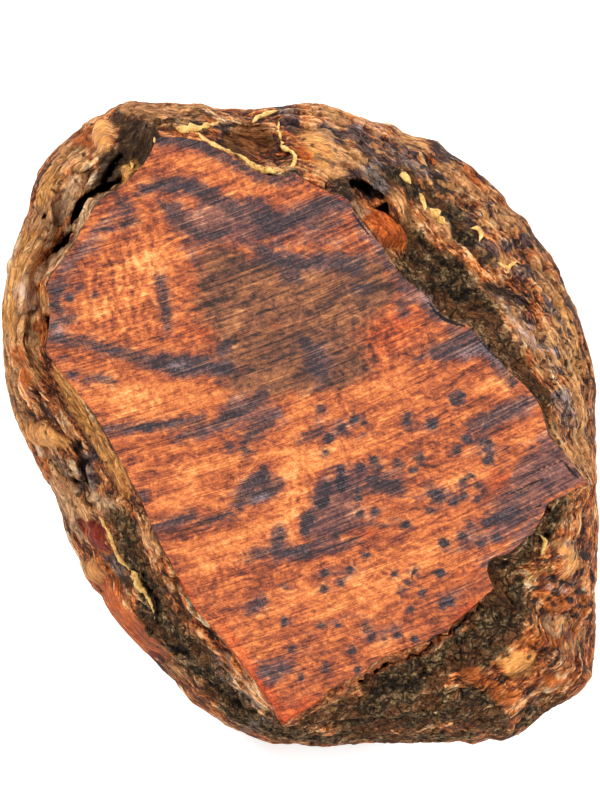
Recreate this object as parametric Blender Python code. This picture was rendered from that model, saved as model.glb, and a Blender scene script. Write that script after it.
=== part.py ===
"""Thuya burl: one solid lump of wood, sawn flat on top and underneath, with its natural wall left on.

Run with: blender --background --python part.py

The lump stands on its sawn underside at z = 0, +Z is up, and the origin is under the middle of its
box. Its widest outline lies about half way up, so the wall bulges out between the two sawn faces.
Lengths are in millimetres up to the point where a mesh is made.
"""

import math

import bmesh
import bpy
import numpy as np

MM = 0.001

# Driving dimensions
HEIGHT = 110.0  # from the sawn underside to the sawn face
EYE_ABOVE_FACE = 1000.0  # the outlines below are read as seen by an eye this far above the face
EYE = (0.0, 9.6)  # where that eye stands over the lump, in the outlines' own plane
MIDDLE = (4.0, 6.0)  # the point that the wall's columns fan out from
COLUMNS = 150  # columns of faces round the wall
UNDERSIDE_SHARE = 0.77  # the underside's outline against the widest one

# The edge of the sawn face as (x, y), from the top left corner and on clockwise
FACE_EDGE = [
    (-56, 115), (-46, 116), (-38, 112), (-21, 105), (-15, 102), (-6, 101), (-1, 103),
    (7, 97), (19, 90), (22, 85), (31, 73), (35, 66), (46, 56), (52, 49), (56, 44),
    (62, 42), (74, 30), (86, 16), (98, 1), (102, -8), (114, -24), (104, -29), (98, -40),
    (88, -50), (80, -53), (76, -60), (78, -66), (60, -79), (45, -88), (27, -96),
    (20, -104), (0, -117), (-6, -119), (-15, -108), (-36, -82), (-50, -61), (-61, -40),
    (-77, -6), (-92, 15), (-101, 38), (-101, 48), (-100, 56), (-90, 68), (-83, 80),
    (-73, 93), (-62, 105),
]

# The outermost line of the wall, as seen from the same eye
OUTLINE = [
    (4, 128), (20, 124), (40, 118), (52, 115), (66, 106), (72, 100), (82, 89), (92, 78),
    (103, 62), (112, 41), (118, 20), (119, 0), (119, -26), (119, -50), (119, -72),
    (117, -95), (114, -102), (100, -111), (85, -122), (76, -127), (48, -127), (20, -128),
    (8, -130), (-10, -127), (-30, -119), (-49, -106), (-64, -90), (-79, -72), (-88, -55),
    (-95, -38), (-107, -16), (-115, 4), (-118, 24), (-118, 48), (-112, 73), (-108, 94),
    (-97, 109), (-82, 123), (-70, 130), (-40, 128), (-36, 126), (-28, 125), (-12, 127),
]

# How far out from the face's edge to the outline the heights of the next table are given
RIM_STEPS = (0.0, 0.1, 0.35, 0.65, 0.88, 1.0)

# The height of the wood at those steps, by the direction in degrees from +X towards +Y
RIM_HEIGHTS = {
    0: (110, 107, 99, 85, 66, 46),
    20: (110, 105, 97, 87, 70, 48),
    35: (110, 102, 95, 88, 72, 50),
    50: (110, 100, 94, 87, 70, 50),
    62: (110, 101, 96, 87, 68, 48),
    76: (110, 108, 104, 92, 72, 48),
    90: (110, 107, 100, 90, 72, 46),
    103: (110, 106, 99, 94, 76, 48),
    118: (110, 106, 102, 95, 77, 48),
    133: (110, 104, 98, 95, 80, 50),
    146: (110, 99, 93, 99, 86, 52),
    158: (110, 101, 95, 100, 83, 52),
    171: (110, 104, 97, 93, 75, 50),
    186: (110, 106, 96, 83, 65, 48),
    202: (110, 106, 95, 82, 63, 46),
    218: (110, 106, 96, 82, 62, 44),
    234: (110, 105, 95, 83, 63, 44),
    248: (110, 103, 94, 80, 60, 42),
    262: (110, 103, 92, 77, 60, 42),
    276: (110, 101, 92, 80, 62, 44),
    292: (110, 101, 96, 88, 70, 46),
    306: (110, 100, 97, 92, 76, 50),
    320: (110, 102, 98, 92, 76, 50),
    335: (110, 104, 99, 89, 69, 48),
    347: (110, 107, 99, 85, 66, 46),
}

# The rings of the wall: steps out from the face's edge, then shares of the widest line's height
RIM_RINGS = (0.05, 0.12, 0.22, 0.35, 0.49, 0.62, 0.74, 0.84, 0.92, 0.97, 1.0)
WALL_RINGS = (0.8, 0.58, 0.36, 0.17, 0.0)

# Swellings and dents of the lower wall: direction in degrees, height, spread, push outwards
LUMPS = [
    (8, 20, 26, 4.5), (38, 28, 22, -4.0), (66, 18, 28, 4.0), (97, 26, 20, -4.5), (124, 16, 26, 4.0),
    (150, 30, 18, -3.5), (176, 18, 26, 4.5), (204, 28, 20, -4.5), (232, 14, 24, 3.5),
    (259, 24, 20, -3.5), (286, 16, 26, 4.5), (312, 28, 20, -4.0), (338, 22, 18, 3.0),
]

# The bowl at the top edge: its middle, its radii, and the height of its middle
HOLLOW_MIDDLE = (-20.0, 114.0)
HOLLOW_RADII = (11.0, 7.0, 15.0)
HOLLOW_HEIGHT = 99.0

# The two open crevices: their lines as seen from the eye, their widths and their lowest points
DEEP_CREVICE = [(-74, 97), (-82, 94), (-89, 88), (-91, 80), (-94, 75), (-98, 71)]
DEEP_CREVICE_WIDTH = 3.4
DEEP_CREVICE_FLOOR = 74.0
SIDE_CREVICE = [(20, 97), (27, 95), (33, 90), (36, 85), (39, 80)]
SIDE_CREVICE_WIDTH = 4.2
SIDE_CREVICE_FLOOR = 84.0
CREVICE_TAPER = 0.35  # a crevice's width at its floor against its width at its mouth

SHARP_EDGE = math.radians(30)
WOOD_COLOUR = (0.42, 0.17, 0.06, 1.0)
WOOD_ROUGHNESS = 0.45


def smooth_curve(places, values, at):
    """Reads a smooth curve through the points (places, values) at each of the places in `at`."""
    places = np.asarray(places, float)
    values = np.asarray(values, float)
    slopes = np.gradient(values, places)
    left = np.clip(np.searchsorted(places, at, side="right") - 1, 0, len(places) - 2)
    gap = places[left + 1] - places[left]
    part = (at - places[left]) / gap
    rest = 1 - part
    ends = values[left] * rest * rest * (1 + 2 * part) + values[left + 1] * part * part * (3 - 2 * part)
    return ends + gap * part * rest * (slopes[left] * rest - slopes[left + 1] * part)


def radii_of(outline, directions):
    """How far an outline lies from MIDDLE in each direction, in radians."""
    away = np.array(outline, float) - MIDDLE
    angles = np.arctan2(away[:, 1], away[:, 0])
    return np.interp(directions, angles, np.hypot(away[:, 0], away[:, 1]), period=math.tau)


def column_directions():
    """Directions of the columns, evenly spaced along the outline."""
    fine = np.linspace(0, math.tau, 3601)
    radii = radii_of(OUTLINE, fine)
    points = np.column_stack((radii * np.cos(fine), radii * np.sin(fine)))
    run = np.concatenate(([0.0], np.cumsum(np.hypot(*np.diff(points, axis=0).T))))
    return np.interp(np.arange(COLUMNS) * run[-1] / COLUMNS, run, fine)


def rim_heights(directions, step):
    """The height of the rim in each direction, at one step out from the face's edge.

    The steps are turned into angles first, so that the wall is upright at the widest line.
    """
    degrees = sorted(RIM_HEIGHTS)
    wrapped = [degrees[-1] - 360, *degrees, degrees[0] + 360, degrees[1] + 360]
    table = [[RIM_HEIGHTS[angle % 360][row] for angle in wrapped] for row in range(len(RIM_STEPS))]
    rows = np.array([smooth_curve(wrapped, heights, np.degrees(directions)) for heights in table])
    bends = np.arcsin(RIM_STEPS)
    return np.array([smooth_curve(bends, profile, math.asin(step)) for profile in rows.T])


def true_place(seen, height):
    """Where a point really lies that the eye sees at `seen`: lower points look nearer to the middle."""
    growth = 1 + (HEIGHT - np.asarray(height, float)) / EYE_ABOVE_FACE
    return np.asarray(EYE) + (seen - np.asarray(EYE)) * np.reshape(growth, (-1, 1))


def swell(directions, height, span):
    """How far the lumps push the wall out at one height. `span` fades them at the underside."""
    push = np.zeros(len(directions))
    for degrees, middle, spread, amount in LUMPS:
        turn = np.remainder(directions - math.radians(degrees) + math.pi, math.tau) - math.pi
        reach = np.degrees(np.abs(turn)) / spread
        push += amount * np.exp(-2 * reach**2) * np.exp(-(((height - middle) / 14.0) ** 2))
    return push * span


def wall_rings(directions):
    """Every ring of the wall as rows of (x, y, z), from the face's edge down to the underside."""
    out = np.column_stack((np.cos(directions), np.sin(directions)))
    inner = radii_of(FACE_EDGE, directions)
    outer = radii_of(OUTLINE, directions)
    rings = [np.column_stack((MIDDLE + out * inner[:, None], np.full(COLUMNS, HEIGHT)))]
    for step in RIM_RINGS:
        heights = rim_heights(directions, step)
        seen = MIDDLE + out * (inner + (outer - inner) * step)[:, None]
        rings.append(np.column_stack((true_place(seen, heights), heights)))
    widest = rings[-1]
    for share in WALL_RINGS:
        heights = widest[:, 2] * share
        tuck = UNDERSIDE_SHARE + (1 - UNDERSIDE_SHARE) * (1 - (1 - share) ** 2)
        plan = MIDDLE + (widest[:, :2] - MIDDLE) * tuck
        plan = plan + out * swell(directions, heights, min(1.0, 0.4 + share))[:, None]
        rings.append(np.column_stack((plan, heights)))
    return rings


def centring(rings):
    """The shift that puts the origin under the middle of the lump's box."""
    points = np.concatenate(rings)[:, :2]
    return -(points.min(axis=0) + points.max(axis=0)) / 2


def new_object(name, mesh_builder):
    mesh = bpy.data.meshes.new(name)
    mesh_builder.to_mesh(mesh)
    mesh_builder.free()
    piece = bpy.data.objects.new(name, mesh)
    bpy.context.scene.collection.objects.link(piece)
    return piece


def bridge(shape, upper, lower):
    """Joins two rings of vertices, the lower one under the upper one, with faces that point out."""
    count = len(upper)
    for here in range(count):
        after = (here + 1) % count
        shape.faces.new((upper[here], lower[here], lower[after], upper[after]))


def make_lump(rings, shift):
    """The closed lump: its wall ring by ring, then the two sawn faces."""
    shape = bmesh.new()
    loops = []
    for ring in rings:
        loops.append([shape.verts.new(((x + shift[0]) * MM, (y + shift[1]) * MM, z * MM)) for x, y, z in ring])
    for upper, lower in zip(loops, loops[1:]):
        bridge(shape, upper, lower)
    sawn_face = shape.faces.new(loops[0])
    underside = shape.faces.new(list(reversed(loops[-1])))
    bmesh.ops.triangulate(shape, faces=[sawn_face, underside])
    return new_object("thuya_burl", shape)


def as_cutter(piece):
    piece.hide_render = True
    piece.display_type = "WIRE"
    return piece


def make_hollow_cutter(shift):
    """An upright egg that scoops the bowl out of the top edge."""
    shape = bmesh.new()
    bmesh.ops.create_icosphere(shape, subdivisions=3, radius=1.0)
    for vertex in shape.verts:
        vertex.co.x = (vertex.co.x * HOLLOW_RADII[0] + HOLLOW_MIDDLE[0] + shift[0]) * MM
        vertex.co.y = (vertex.co.y * HOLLOW_RADII[1] + HOLLOW_MIDDLE[1] + shift[1]) * MM
        vertex.co.z = (vertex.co.z * HOLLOW_RADII[2] + HOLLOW_HEIGHT) * MM
    return as_cutter(new_object("hollow_cutter", shape))


def make_crevice_cutter(name, line, width, floor, shift):
    """A bent blade, wider at its mouth, that cuts one crevice down to its floor."""
    path = np.array(line, float) + shift
    along = np.gradient(path, axis=0)
    side = np.column_stack((-along[:, 1], along[:, 0])) / np.hypot(*along.T)[:, None]
    shape = bmesh.new()
    loops = []
    for height, share in ((HEIGHT + 5, 1.2), (floor, CREVICE_TAPER)):
        half = np.full(len(path), width * share / 2)
        half[[0, -1]] *= 0.5
        edge = np.concatenate((path + side * half[:, None], (path - side * half[:, None])[::-1]))
        loops.append([shape.verts.new((x * MM, y * MM, height * MM)) for x, y in edge])
    bridge(shape, *loops)
    shape.faces.new(loops[0])
    shape.faces.new(list(reversed(loops[1])))
    bmesh.ops.recalc_face_normals(shape, faces=shape.faces)
    return as_cutter(new_object(name, shape))


def cut(piece, cutter):
    boolean = piece.modifiers.new(cutter.name, "BOOLEAN")
    boolean.operation = "DIFFERENCE"
    boolean.object = cutter


def wood_material():
    material = bpy.data.materials.new("burl_wood")
    material.use_nodes = True
    shader = material.node_tree.nodes["Principled BSDF"]
    shader.inputs["Base Color"].default_value = WOOD_COLOUR
    shader.inputs["Roughness"].default_value = WOOD_ROUGHNESS
    shader.inputs["Metallic"].default_value = 0.0
    return material


def main():
    for piece in list(bpy.data.objects):
        bpy.data.objects.remove(piece, do_unlink=True)
    rings = wall_rings(column_directions())
    shift = centring(rings)
    burl = make_lump(rings, shift)
    burl.data.materials.append(wood_material())
    burl.data.shade_smooth()
    burl.data.set_sharp_from_angle(angle=SHARP_EDGE)
    cut(burl, make_hollow_cutter(shift))
    for name, line, width, floor in (
        ("deep_crevice_cutter", DEEP_CREVICE, DEEP_CREVICE_WIDTH, DEEP_CREVICE_FLOOR),
        ("side_crevice_cutter", SIDE_CREVICE, SIDE_CREVICE_WIDTH, SIDE_CREVICE_FLOOR),
    ):
        cut(burl, make_crevice_cutter(name, line, width, floor, shift))
    print("the outlines' plane is shifted by", shift.round(3), "mm")


main()
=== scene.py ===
"""The looks of a thuya burl: a waxed, sawn face inside its natural wall of gnarled wood and bark.

The lump is modelled ring by ring, from the edge of the sawn face out and down to the underside.
Where a list below holds pairs or triples of pixels, they were read off the photograph,
which looks straight down on the sawn face. All other lengths are millimetres.
"""

import math

import bpy
import numpy as np
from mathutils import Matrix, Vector, noise


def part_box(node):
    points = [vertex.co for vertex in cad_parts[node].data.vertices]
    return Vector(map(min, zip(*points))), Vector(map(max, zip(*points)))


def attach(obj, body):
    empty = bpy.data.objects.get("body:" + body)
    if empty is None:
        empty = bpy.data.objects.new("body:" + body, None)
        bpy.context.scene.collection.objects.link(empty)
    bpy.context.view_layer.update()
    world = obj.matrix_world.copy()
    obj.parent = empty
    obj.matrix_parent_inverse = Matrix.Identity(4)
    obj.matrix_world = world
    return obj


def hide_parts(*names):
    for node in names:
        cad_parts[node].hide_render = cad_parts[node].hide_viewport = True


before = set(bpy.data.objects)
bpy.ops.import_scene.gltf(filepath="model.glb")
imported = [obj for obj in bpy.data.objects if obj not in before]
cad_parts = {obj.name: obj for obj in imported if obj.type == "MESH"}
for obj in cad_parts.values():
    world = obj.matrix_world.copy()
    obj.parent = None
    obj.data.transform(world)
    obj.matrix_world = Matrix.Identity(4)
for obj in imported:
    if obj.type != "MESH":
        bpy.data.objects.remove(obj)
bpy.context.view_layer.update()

MM = 0.001
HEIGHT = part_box("thuya_burl")[1].z / MM

# The camera looks straight down. The photograph's middle is in pixels, and the eye stands over
# this point of the sawn face
PHOTO_MIDDLE = (300.0, 400.0)
PHOTO_ROWS = 800
PIXEL = 0.4
EYE = (-0.9, 10.4)
EYE_ABOVE_FACE = 1000.0
SENSOR = 36.0

# The lump's mesh: columns fan out from one pixel, in rings from the face's edge to the underside
FAN_MIDDLE = (310.0, 409.0)
COLUMNS = 720
RIM_RINGS = 64
WALL_RINGS = 20
FACE_SPAN = COLUMNS // 4
OUTLINE_STEPS = 7200

# The lower wall: how wide the underside is, how much of the lumps shows there and how tall they are
UNDERSIDE_SHARE = 0.77
LUMPS_AT_BASE = 0.4
LUMP_TALLNESS = 14.0
WIDEST_LEVEL = 50

# How far under the sawn face the highest wood of the wall stays
BELOW_FACE = 0.2

# The hidden wall repeats this share of the rim, turned by this many columns at the underside,
# and its finish wanders by this many pixels over this many millimetres
MIRRORED_RIM = 0.62
MIRRORED_TURN = 70
LOOSE_REACH = 5.0
LOOSE_SIZE = 9.0

# The widest gap in pixels that a finish asks for
WIDEST_GAP = 14.0

# How the two chance numbers of a cell are spread
CHANCE_SPREADS = (7.3, 4.1)
CHANCE_SHIFT = (9, 2, 5)

# The UV map's parts, as shares of its side: the view from above, the underside and the wall strips
PLAN_SIZE = 0.62
PLAN_CORNER = (0.005, 0.375)
UNDERSIDE_SIZE = 0.55
UNDERSIDE_CORNER = (0.64, 0.62)
RINGS_IN_STRIP = 10
STRIP_CORNER = (0.005, 0.01)
STRIP_LENGTH = 0.985
STRIP_DEPTH = 0.165
STRIP_RISE = 0.18

# Where the saw's blade turned, far up and left of the face, so that its marks are shallow arcs,
# and the radius at which its swing is measured
SAW_PIVOT = (-250.0, 670.0)
SAW_REACH = 700.0

# The gloss of the waxed face and of the wall, the size of bark plates, and the ribbons of bast:
# length of a step, sides, height against width, rise, half width at the tip, bends in a pixel,
# wander in pixels and unevenness
FACE_GLOSS = 0.22
WALL_GLOSS = 0.12
PLATE_SIZE = (9.0, 9.0, 4.2)
RIBBON_STEP = 1.1
RIBBON_SIDES = 8
RIBBON_HEIGHT = 0.75
RIBBON_RISE = 0.25
RIBBON_TIP = 0.12
RIBBON_BENDS = 0.22
RIBBON_WANDER = 1.4
RIBBON_UNEVEN = 0.7

# The studio, in metres and watts: soft boxes with their place and size, and a bright floor
SOFT_BOXES = [
    ("key_box", (-1.0, 1.1, 1.5), 0.6, 44.0),
    ("right_box", (1.5, 0.3, 1.2), 0.6, 36.0),
    ("front_box", (-0.2, -1.5, 1.2), 0.8, 22.0),
]
LIGHT_TARGET = (0.0, 0.0, 0.05)
ROOM_LIGHT = 0.2
FLOOR_SIZE = 12.0
FLOOR_LOOK = {
    "Base Color": (0.93, 0.93, 0.93, 1.0),
    "Roughness": 0.9,
    "Emission Color": (1.0, 1.0, 1.0, 1.0),
    "Emission Strength": 0.3,
}

# The woods laid over the wall's base in turn: light and dark colour, ragged and soft edge in pixels,
# and strength
WALL_WOODS = [
    # The char layer is also painted shade, where wood and bark lie in shadow
    ("charred_and_shaded", (92, 68, 46), (12, 9, 7), 8.0, 3.0, 0.94),
    ("amber", (252, 184, 116), (128, 70, 38), 9.0, 3.0, 0.85),
    ("ruddy", (232, 126, 54), (114, 42, 12), 7.0, 2.5, 0.94),
    ("straw", (246, 200, 150), (156, 100, 64), 9.0, 3.0, 0.88),
    ("garnet", (150, 28, 2), (48, 5, 1), 5.0, 2.0, 0.95),
    ("ochre", (255, 182, 98), (172, 96, 40), 6.0, 2.5, 0.92),
]

# The edge of the sawn face, in pixels, from its top left corner and on clockwise
FACE_EDGE = [
    (157, 138), (180, 137), (199, 141), (212, 147), (224, 153), (237, 159), (248, 167), (257, 172),
    (270, 176), (283, 176), (295, 173), (300, 177), (310, 183), (322, 189), (331, 194), (341, 195),
    (349, 200), (353, 210), (361, 220), (368, 229), (375, 238), (382, 246), (388, 259), (396, 269),
    (401, 275), (411, 284), (424, 294), (431, 302), (436, 311), (446, 318), (458, 324), (466, 324),
    (472, 329), (486, 345), (497, 358), (508, 371), (521, 382), (527, 388), (536, 399), (542, 411),
    (545, 423), (548, 435), (556, 445), (564, 454), (575, 467), (583, 477), (588, 484), (579, 487),
    (569, 492), (562, 497), (553, 500), (547, 504), (544, 513), (537, 526), (530, 534), (523, 541),
    (513, 550), (505, 555), (493, 557), (488, 562), (487, 570), (490, 580), (494, 588), (487, 594),
    (478, 602), (465, 613), (449, 625), (447, 631), (433, 636), (419, 644), (404, 649), (390, 654),
    (381, 658), (372, 663), (365, 672), (353, 677), (343, 683), (331, 688), (322, 697), (308, 707),
    (292, 716), (284, 722), (279, 714), (272, 702), (261, 688), (250, 673), (238, 657), (226, 642),
    (212, 627), (200, 614), (193, 605), (187, 591), (178, 576), (170, 560), (159, 541), (153, 528),
    (147, 514), (141, 498), (132, 483), (126, 470), (117, 454), (109, 439), (102, 427), (95, 415),
    (86, 403), (74, 388), (61, 373), (52, 360), (46, 349), (48, 335), (50, 317), (49, 300),
    (47, 286), (50, 277), (63, 260), (74, 245), (81, 230), (88, 218), (96, 205), (106, 196),
    (116, 191), (124, 184), (135, 173), (144, 164), (151, 152),
]

# The outermost line of the wall, in pixels
OUTLINE = [
    (309, 103), (325, 104), (334, 107), (345, 111), (361, 116), (372, 121), (386, 123), (393, 125),
    (400, 130), (408, 134), (415, 136), (430, 138), (438, 140), (448, 150), (461, 158), (473, 166),
    (485, 178), (497, 190), (504, 197), (507, 203), (513, 211), (521, 215), (527, 221), (533, 233),
    (541, 242), (550, 253), (556, 262), (562, 274), (569, 291), (576, 307), (582, 324), (588, 347),
    (593, 365), (597, 385), (595, 400), (596, 416), (596, 441), (595, 460), (596, 491), (598, 525),
    (598, 557), (597, 581), (595, 590), (596, 605), (596, 631), (594, 646), (592, 662), (592, 676),
    (585, 686), (579, 692), (563, 704), (550, 710), (538, 719), (525, 730), (515, 738), (502, 742),
    (489, 740), (480, 744), (473, 746), (465, 744), (457, 743), (400, 743), (358, 744), (342, 746),
    (325, 748), (300, 746), (292, 744), (273, 743), (261, 739), (246, 733), (230, 727), (215, 718),
    (203, 709), (192, 702), (181, 688), (162, 671), (150, 657), (137, 644), (123, 629), (111, 613),
    (101, 595), (92, 586), (84, 573), (81, 559), (74, 548), (67, 535), (62, 514), (54, 496),
    (46, 482), (39, 470), (29, 449), (20, 430), (13, 410), (7, 385), (5, 365), (4, 332),
    (2, 309), (5, 283), (11, 255), (19, 233), (28, 207), (33, 182), (38, 172), (49, 158),
    (61, 146), (85, 123), (96, 117), (105, 114), (111, 108), (120, 103), (131, 100), (150, 102),
    (182, 103), (202, 102), (206, 105), (213, 109), (224, 110), (244, 111), (258, 109), (275, 107),
    (291, 105),
]

# How far out from the face's edge to the outline the heights of the next table are given
RIM_STEPS = (0.0, 0.1, 0.35, 0.65, 0.88, 1.0)

# The height of the wood at those steps, by the direction in degrees from +X towards +Y
RIM_HEIGHTS = {
    0: (110, 107, 99, 85, 66, 46),
    20: (110, 105, 97, 87, 70, 48),
    35: (110, 102, 95, 88, 72, 50),
    50: (110, 100, 94, 87, 70, 50),
    62: (110, 101, 96, 87, 68, 48),
    76: (110, 108, 104, 92, 72, 48),
    90: (110, 107, 100, 90, 72, 46),
    103: (110, 106, 99, 94, 76, 48),
    118: (110, 106, 102, 95, 77, 48),
    133: (110, 104, 98, 95, 80, 50),
    146: (110, 99, 93, 99, 86, 52),
    158: (110, 101, 95, 100, 83, 52),
    171: (110, 104, 97, 93, 75, 50),
    186: (110, 106, 96, 83, 65, 48),
    202: (110, 106, 95, 82, 63, 46),
    218: (110, 106, 96, 82, 62, 44),
    234: (110, 105, 95, 83, 63, 44),
    248: (110, 103, 94, 80, 60, 42),
    262: (110, 103, 92, 77, 60, 42),
    276: (110, 101, 92, 80, 62, 44),
    292: (110, 101, 96, 88, 70, 46),
    306: (110, 100, 97, 92, 76, 50),
    320: (110, 102, 98, 92, 76, 50),
    335: (110, 104, 99, 89, 69, 48),
    347: (110, 107, 99, 85, 66, 46),
}

# Swellings and dents of the lower wall: direction in degrees, height, spread, push outwards
LUMPS = [
    (8, 20, 26, 4.5), (38, 28, 22, -4.0), (66, 18, 28, 4.0), (97, 26, 20, -4.5), (124, 16, 26, 4.0),
    (150, 30, 18, -3.5), (176, 18, 26, 4.5), (204, 28, 20, -4.5), (232, 14, 24, 3.5),
    (259, 24, 20, -3.5), (286, 16, 26, 4.5), (312, 28, 20, -4.0), (338, 22, 18, 3.0),
]

# Chains of (u, v, half width) in pixels, each cut this many millimetres into the wall
CREVICES = [
    (24.0, [(112, 182, 1), (105, 186, 2.5), (96, 190, 3), (88, 196, 3.5), (80, 204, 4), (75, 214, 3),
            (72, 224, 1)]),
    (16.0, [(70, 232, 1), (65, 239, 2.5), (60, 245, 2.5), (54, 250, 1)]),
    (6.0, [(119, 152, 1), (114, 160, 2.5), (109, 170, 3.5), (104, 181, 3.5)]),
    (5.0, [(120, 176, 1.5), (113, 183, 2.5)]),
    (9.0, [(352, 181, 3), (362, 184, 5), (373, 191, 5), (381, 198, 4)]),
    (9.0, [(376, 211, 3), (384, 206, 4), (385, 216, 4), (391, 222, 3)]),
    (6.0, [(44, 316, 1.5), (46, 326, 2.5), (46, 336, 2), (44, 345, 1)]),
    (3.5, [(42, 350, 0.5), (50, 366, 1), (62, 382, 1.2), (76, 398, 1.2), (90, 416, 1),
           (100, 434, 0.6)]),
    (3.0, [(24, 366, 1.5), (30, 376, 3), (36, 388, 3), (40, 398, 1.5)]),
    (3.0, [(17, 412, 2), (30, 416, 3), (45, 420, 3), (58, 428, 3), (66, 438, 2)]),
    (4.0, [(76, 443, 3), (77, 455, 4), (80, 468, 4), (86, 482, 4), (92, 495, 3)]),
    (3.5, [(50, 460, 3), (58, 466, 4), (66, 475, 3), (74, 486, 2)]),
    (4.0, [(140, 575, 1), (146, 590, 2.5), (153, 600, 2.5), (158, 615, 2), (154, 632, 1)]),
    (3.0, [(163, 645, 3), (175, 653, 4), (186, 658, 3)]),
    (3.5, [(203, 676, 1.5), (210, 686, 2), (218, 692, 1.2), (228, 700, 2), (238, 708, 2),
           (246, 716, 1)]),
    (2.0, [(91, 122, 0.8), (88, 135, 1.2), (93, 150, 0.8)]),
    (3.0, [(66, 160, 1.5), (60, 172, 2), (54, 184, 1.5)]),
    (2.5, [(104, 570, 0.8), (124, 592, 1.2), (142, 610, 1.2), (160, 640, 1.0)]),
    (1.5, [(448, 262, 1), (460, 266, 1.2), (472, 271, 1.2), (481, 276, 1)]),
    (1.5, [(446, 268, 1), (458, 272, 1), (470, 277, 1)]),
    (2.0, [(488, 270, 1), (498, 275, 1.5), (508, 279, 1)]),
    (2.5, [(503, 290, 1), (516, 296, 1.8), (530, 302, 1.8), (545, 311, 1)]),
    (4.0, [(548, 503, 3), (551, 510, 3), (546, 517, 2)]),
    (6.0, [(440, 637, 2), (450, 631, 3), (460, 624, 2.5), (470, 618, 2), (482, 607, 1)]),
    (6.0, [(360, 682, 3), (372, 673, 3.5), (385, 666, 2.5), (402, 658, 2.5), (420, 650, 2.5),
           (432, 644, 2)]),
]

# The torn lip of wood under the face's lower edge, as one such chain
TORN_LIP = [
    (300, 714, 1), (320, 701, 2.5), (345, 687, 4), (372, 673, 5), (400, 659, 5), (430, 647, 4),
    (452, 634, 3), (482, 605, 2),
]

# Round holes: (u, v, radius) in pixels and depth in millimetres
HOLES = [
    ((43, 216, 3.5), 5.0), ((66, 161, 2.5), 3.0), ((52, 190, 2.5), 3.0), ((58, 184, 2.0), 2.5),
    ((327, 730, 2.5), 4.0), ((560, 600, 2.5), 2.0), ((575, 588, 2.0), 2.0), ((583, 597, 2.5), 2.0),
]

# The bowl at the top edge: its middle and reach in pixels, and its depth
HOLLOW = (250.0, 139.0)
HOLLOW_REACH = (28.0, 17.0)
HOLLOW_DEPTH = 13.0

# Raised, smooth swellings: (u, v), (half sizes) in pixels, turn in degrees, height in
# millimetres, and where their steep side ends as a share of their size
SWELLINGS = [
    ((103, 135), (10, 15), 0, 3.0, 0.5),
    ((36, 262), (8, 20), -17, 1.0, 0.4),
    ((28, 292), (9, 20), -5, 1.5, 0.5),
    ((386, 229), (27, 11), -42, 4.5, 0.75),
    ((127, 172), (6, 9), 30, 1.8, 0.5),
    ((132, 618), (13, 42), 38, 3.0, 0.6),
    ((516, 662), (20, 11), 25, 3.0, 0.6),
    ((150, 540), (8, 10), 30, 1.5, 0.4),
    ((92, 573), (8, 11), 20, 1.8, 0.4),
    ((98, 540), (14, 8), -40, 2.0, 0.5),
    ((320, 155), (22, 24), 20, 2.0, 0.4),
    ((42, 436), (18, 10), -10, 2.0, 0.4),
    ((26, 386), (8, 16), 10, 1.8, 0.5),
    ((440, 222), (9, 18), 35, 2.0, 0.5),
    ((565, 560), (12, 18), 0, 2.0, 0.4),
]

# The swelling that shows its year lines, and how many lines there are to its half size
RINGED_SWELLING = ((386, 229), (27, 11), -42)
YEAR_LINES = 2.6

# The woods of the wall as chains of (u, v, half width) in pixels: pale straw
STRAW_WOOD = [
    [(116, 191, 2), (101, 197, 4), (90, 206, 4), (80, 220, 4), (68, 240, 3), (55, 258, 5), (44, 270, 8),
     (34, 278, 5)],
    [(88, 494, 4), (100, 502, 6), (114, 512, 4)],
    [(14, 240, 4), (10, 270, 5), (7, 300, 4)],
    [(24, 288, 5), (28, 304, 5)],
    [(548, 622, 4), (560, 630, 5)],
    [(52, 480, 3), (62, 500, 3), (72, 520, 3), (80, 540, 3)],
    [(525, 338, 4), (516, 330, 3)],
    [(556, 352, 3), (552, 372, 3)],
    [(398, 176, 4), (408, 182, 5)],
    [(356, 205, 3), (362, 214, 3)],
    [(226, 656, 1), (244, 682, 1), (260, 704, 1)],
    [(26, 274, 4), (28, 286, 7), (29, 298, 7), (30, 308, 4)],
    [(16, 292, 4), (18, 312, 4)],
    [(74, 180, 6), (70, 192, 9), (63, 208, 9), (56, 224, 6)],
    [(500, 300, 4), (512, 316, 5)],
]

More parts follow.
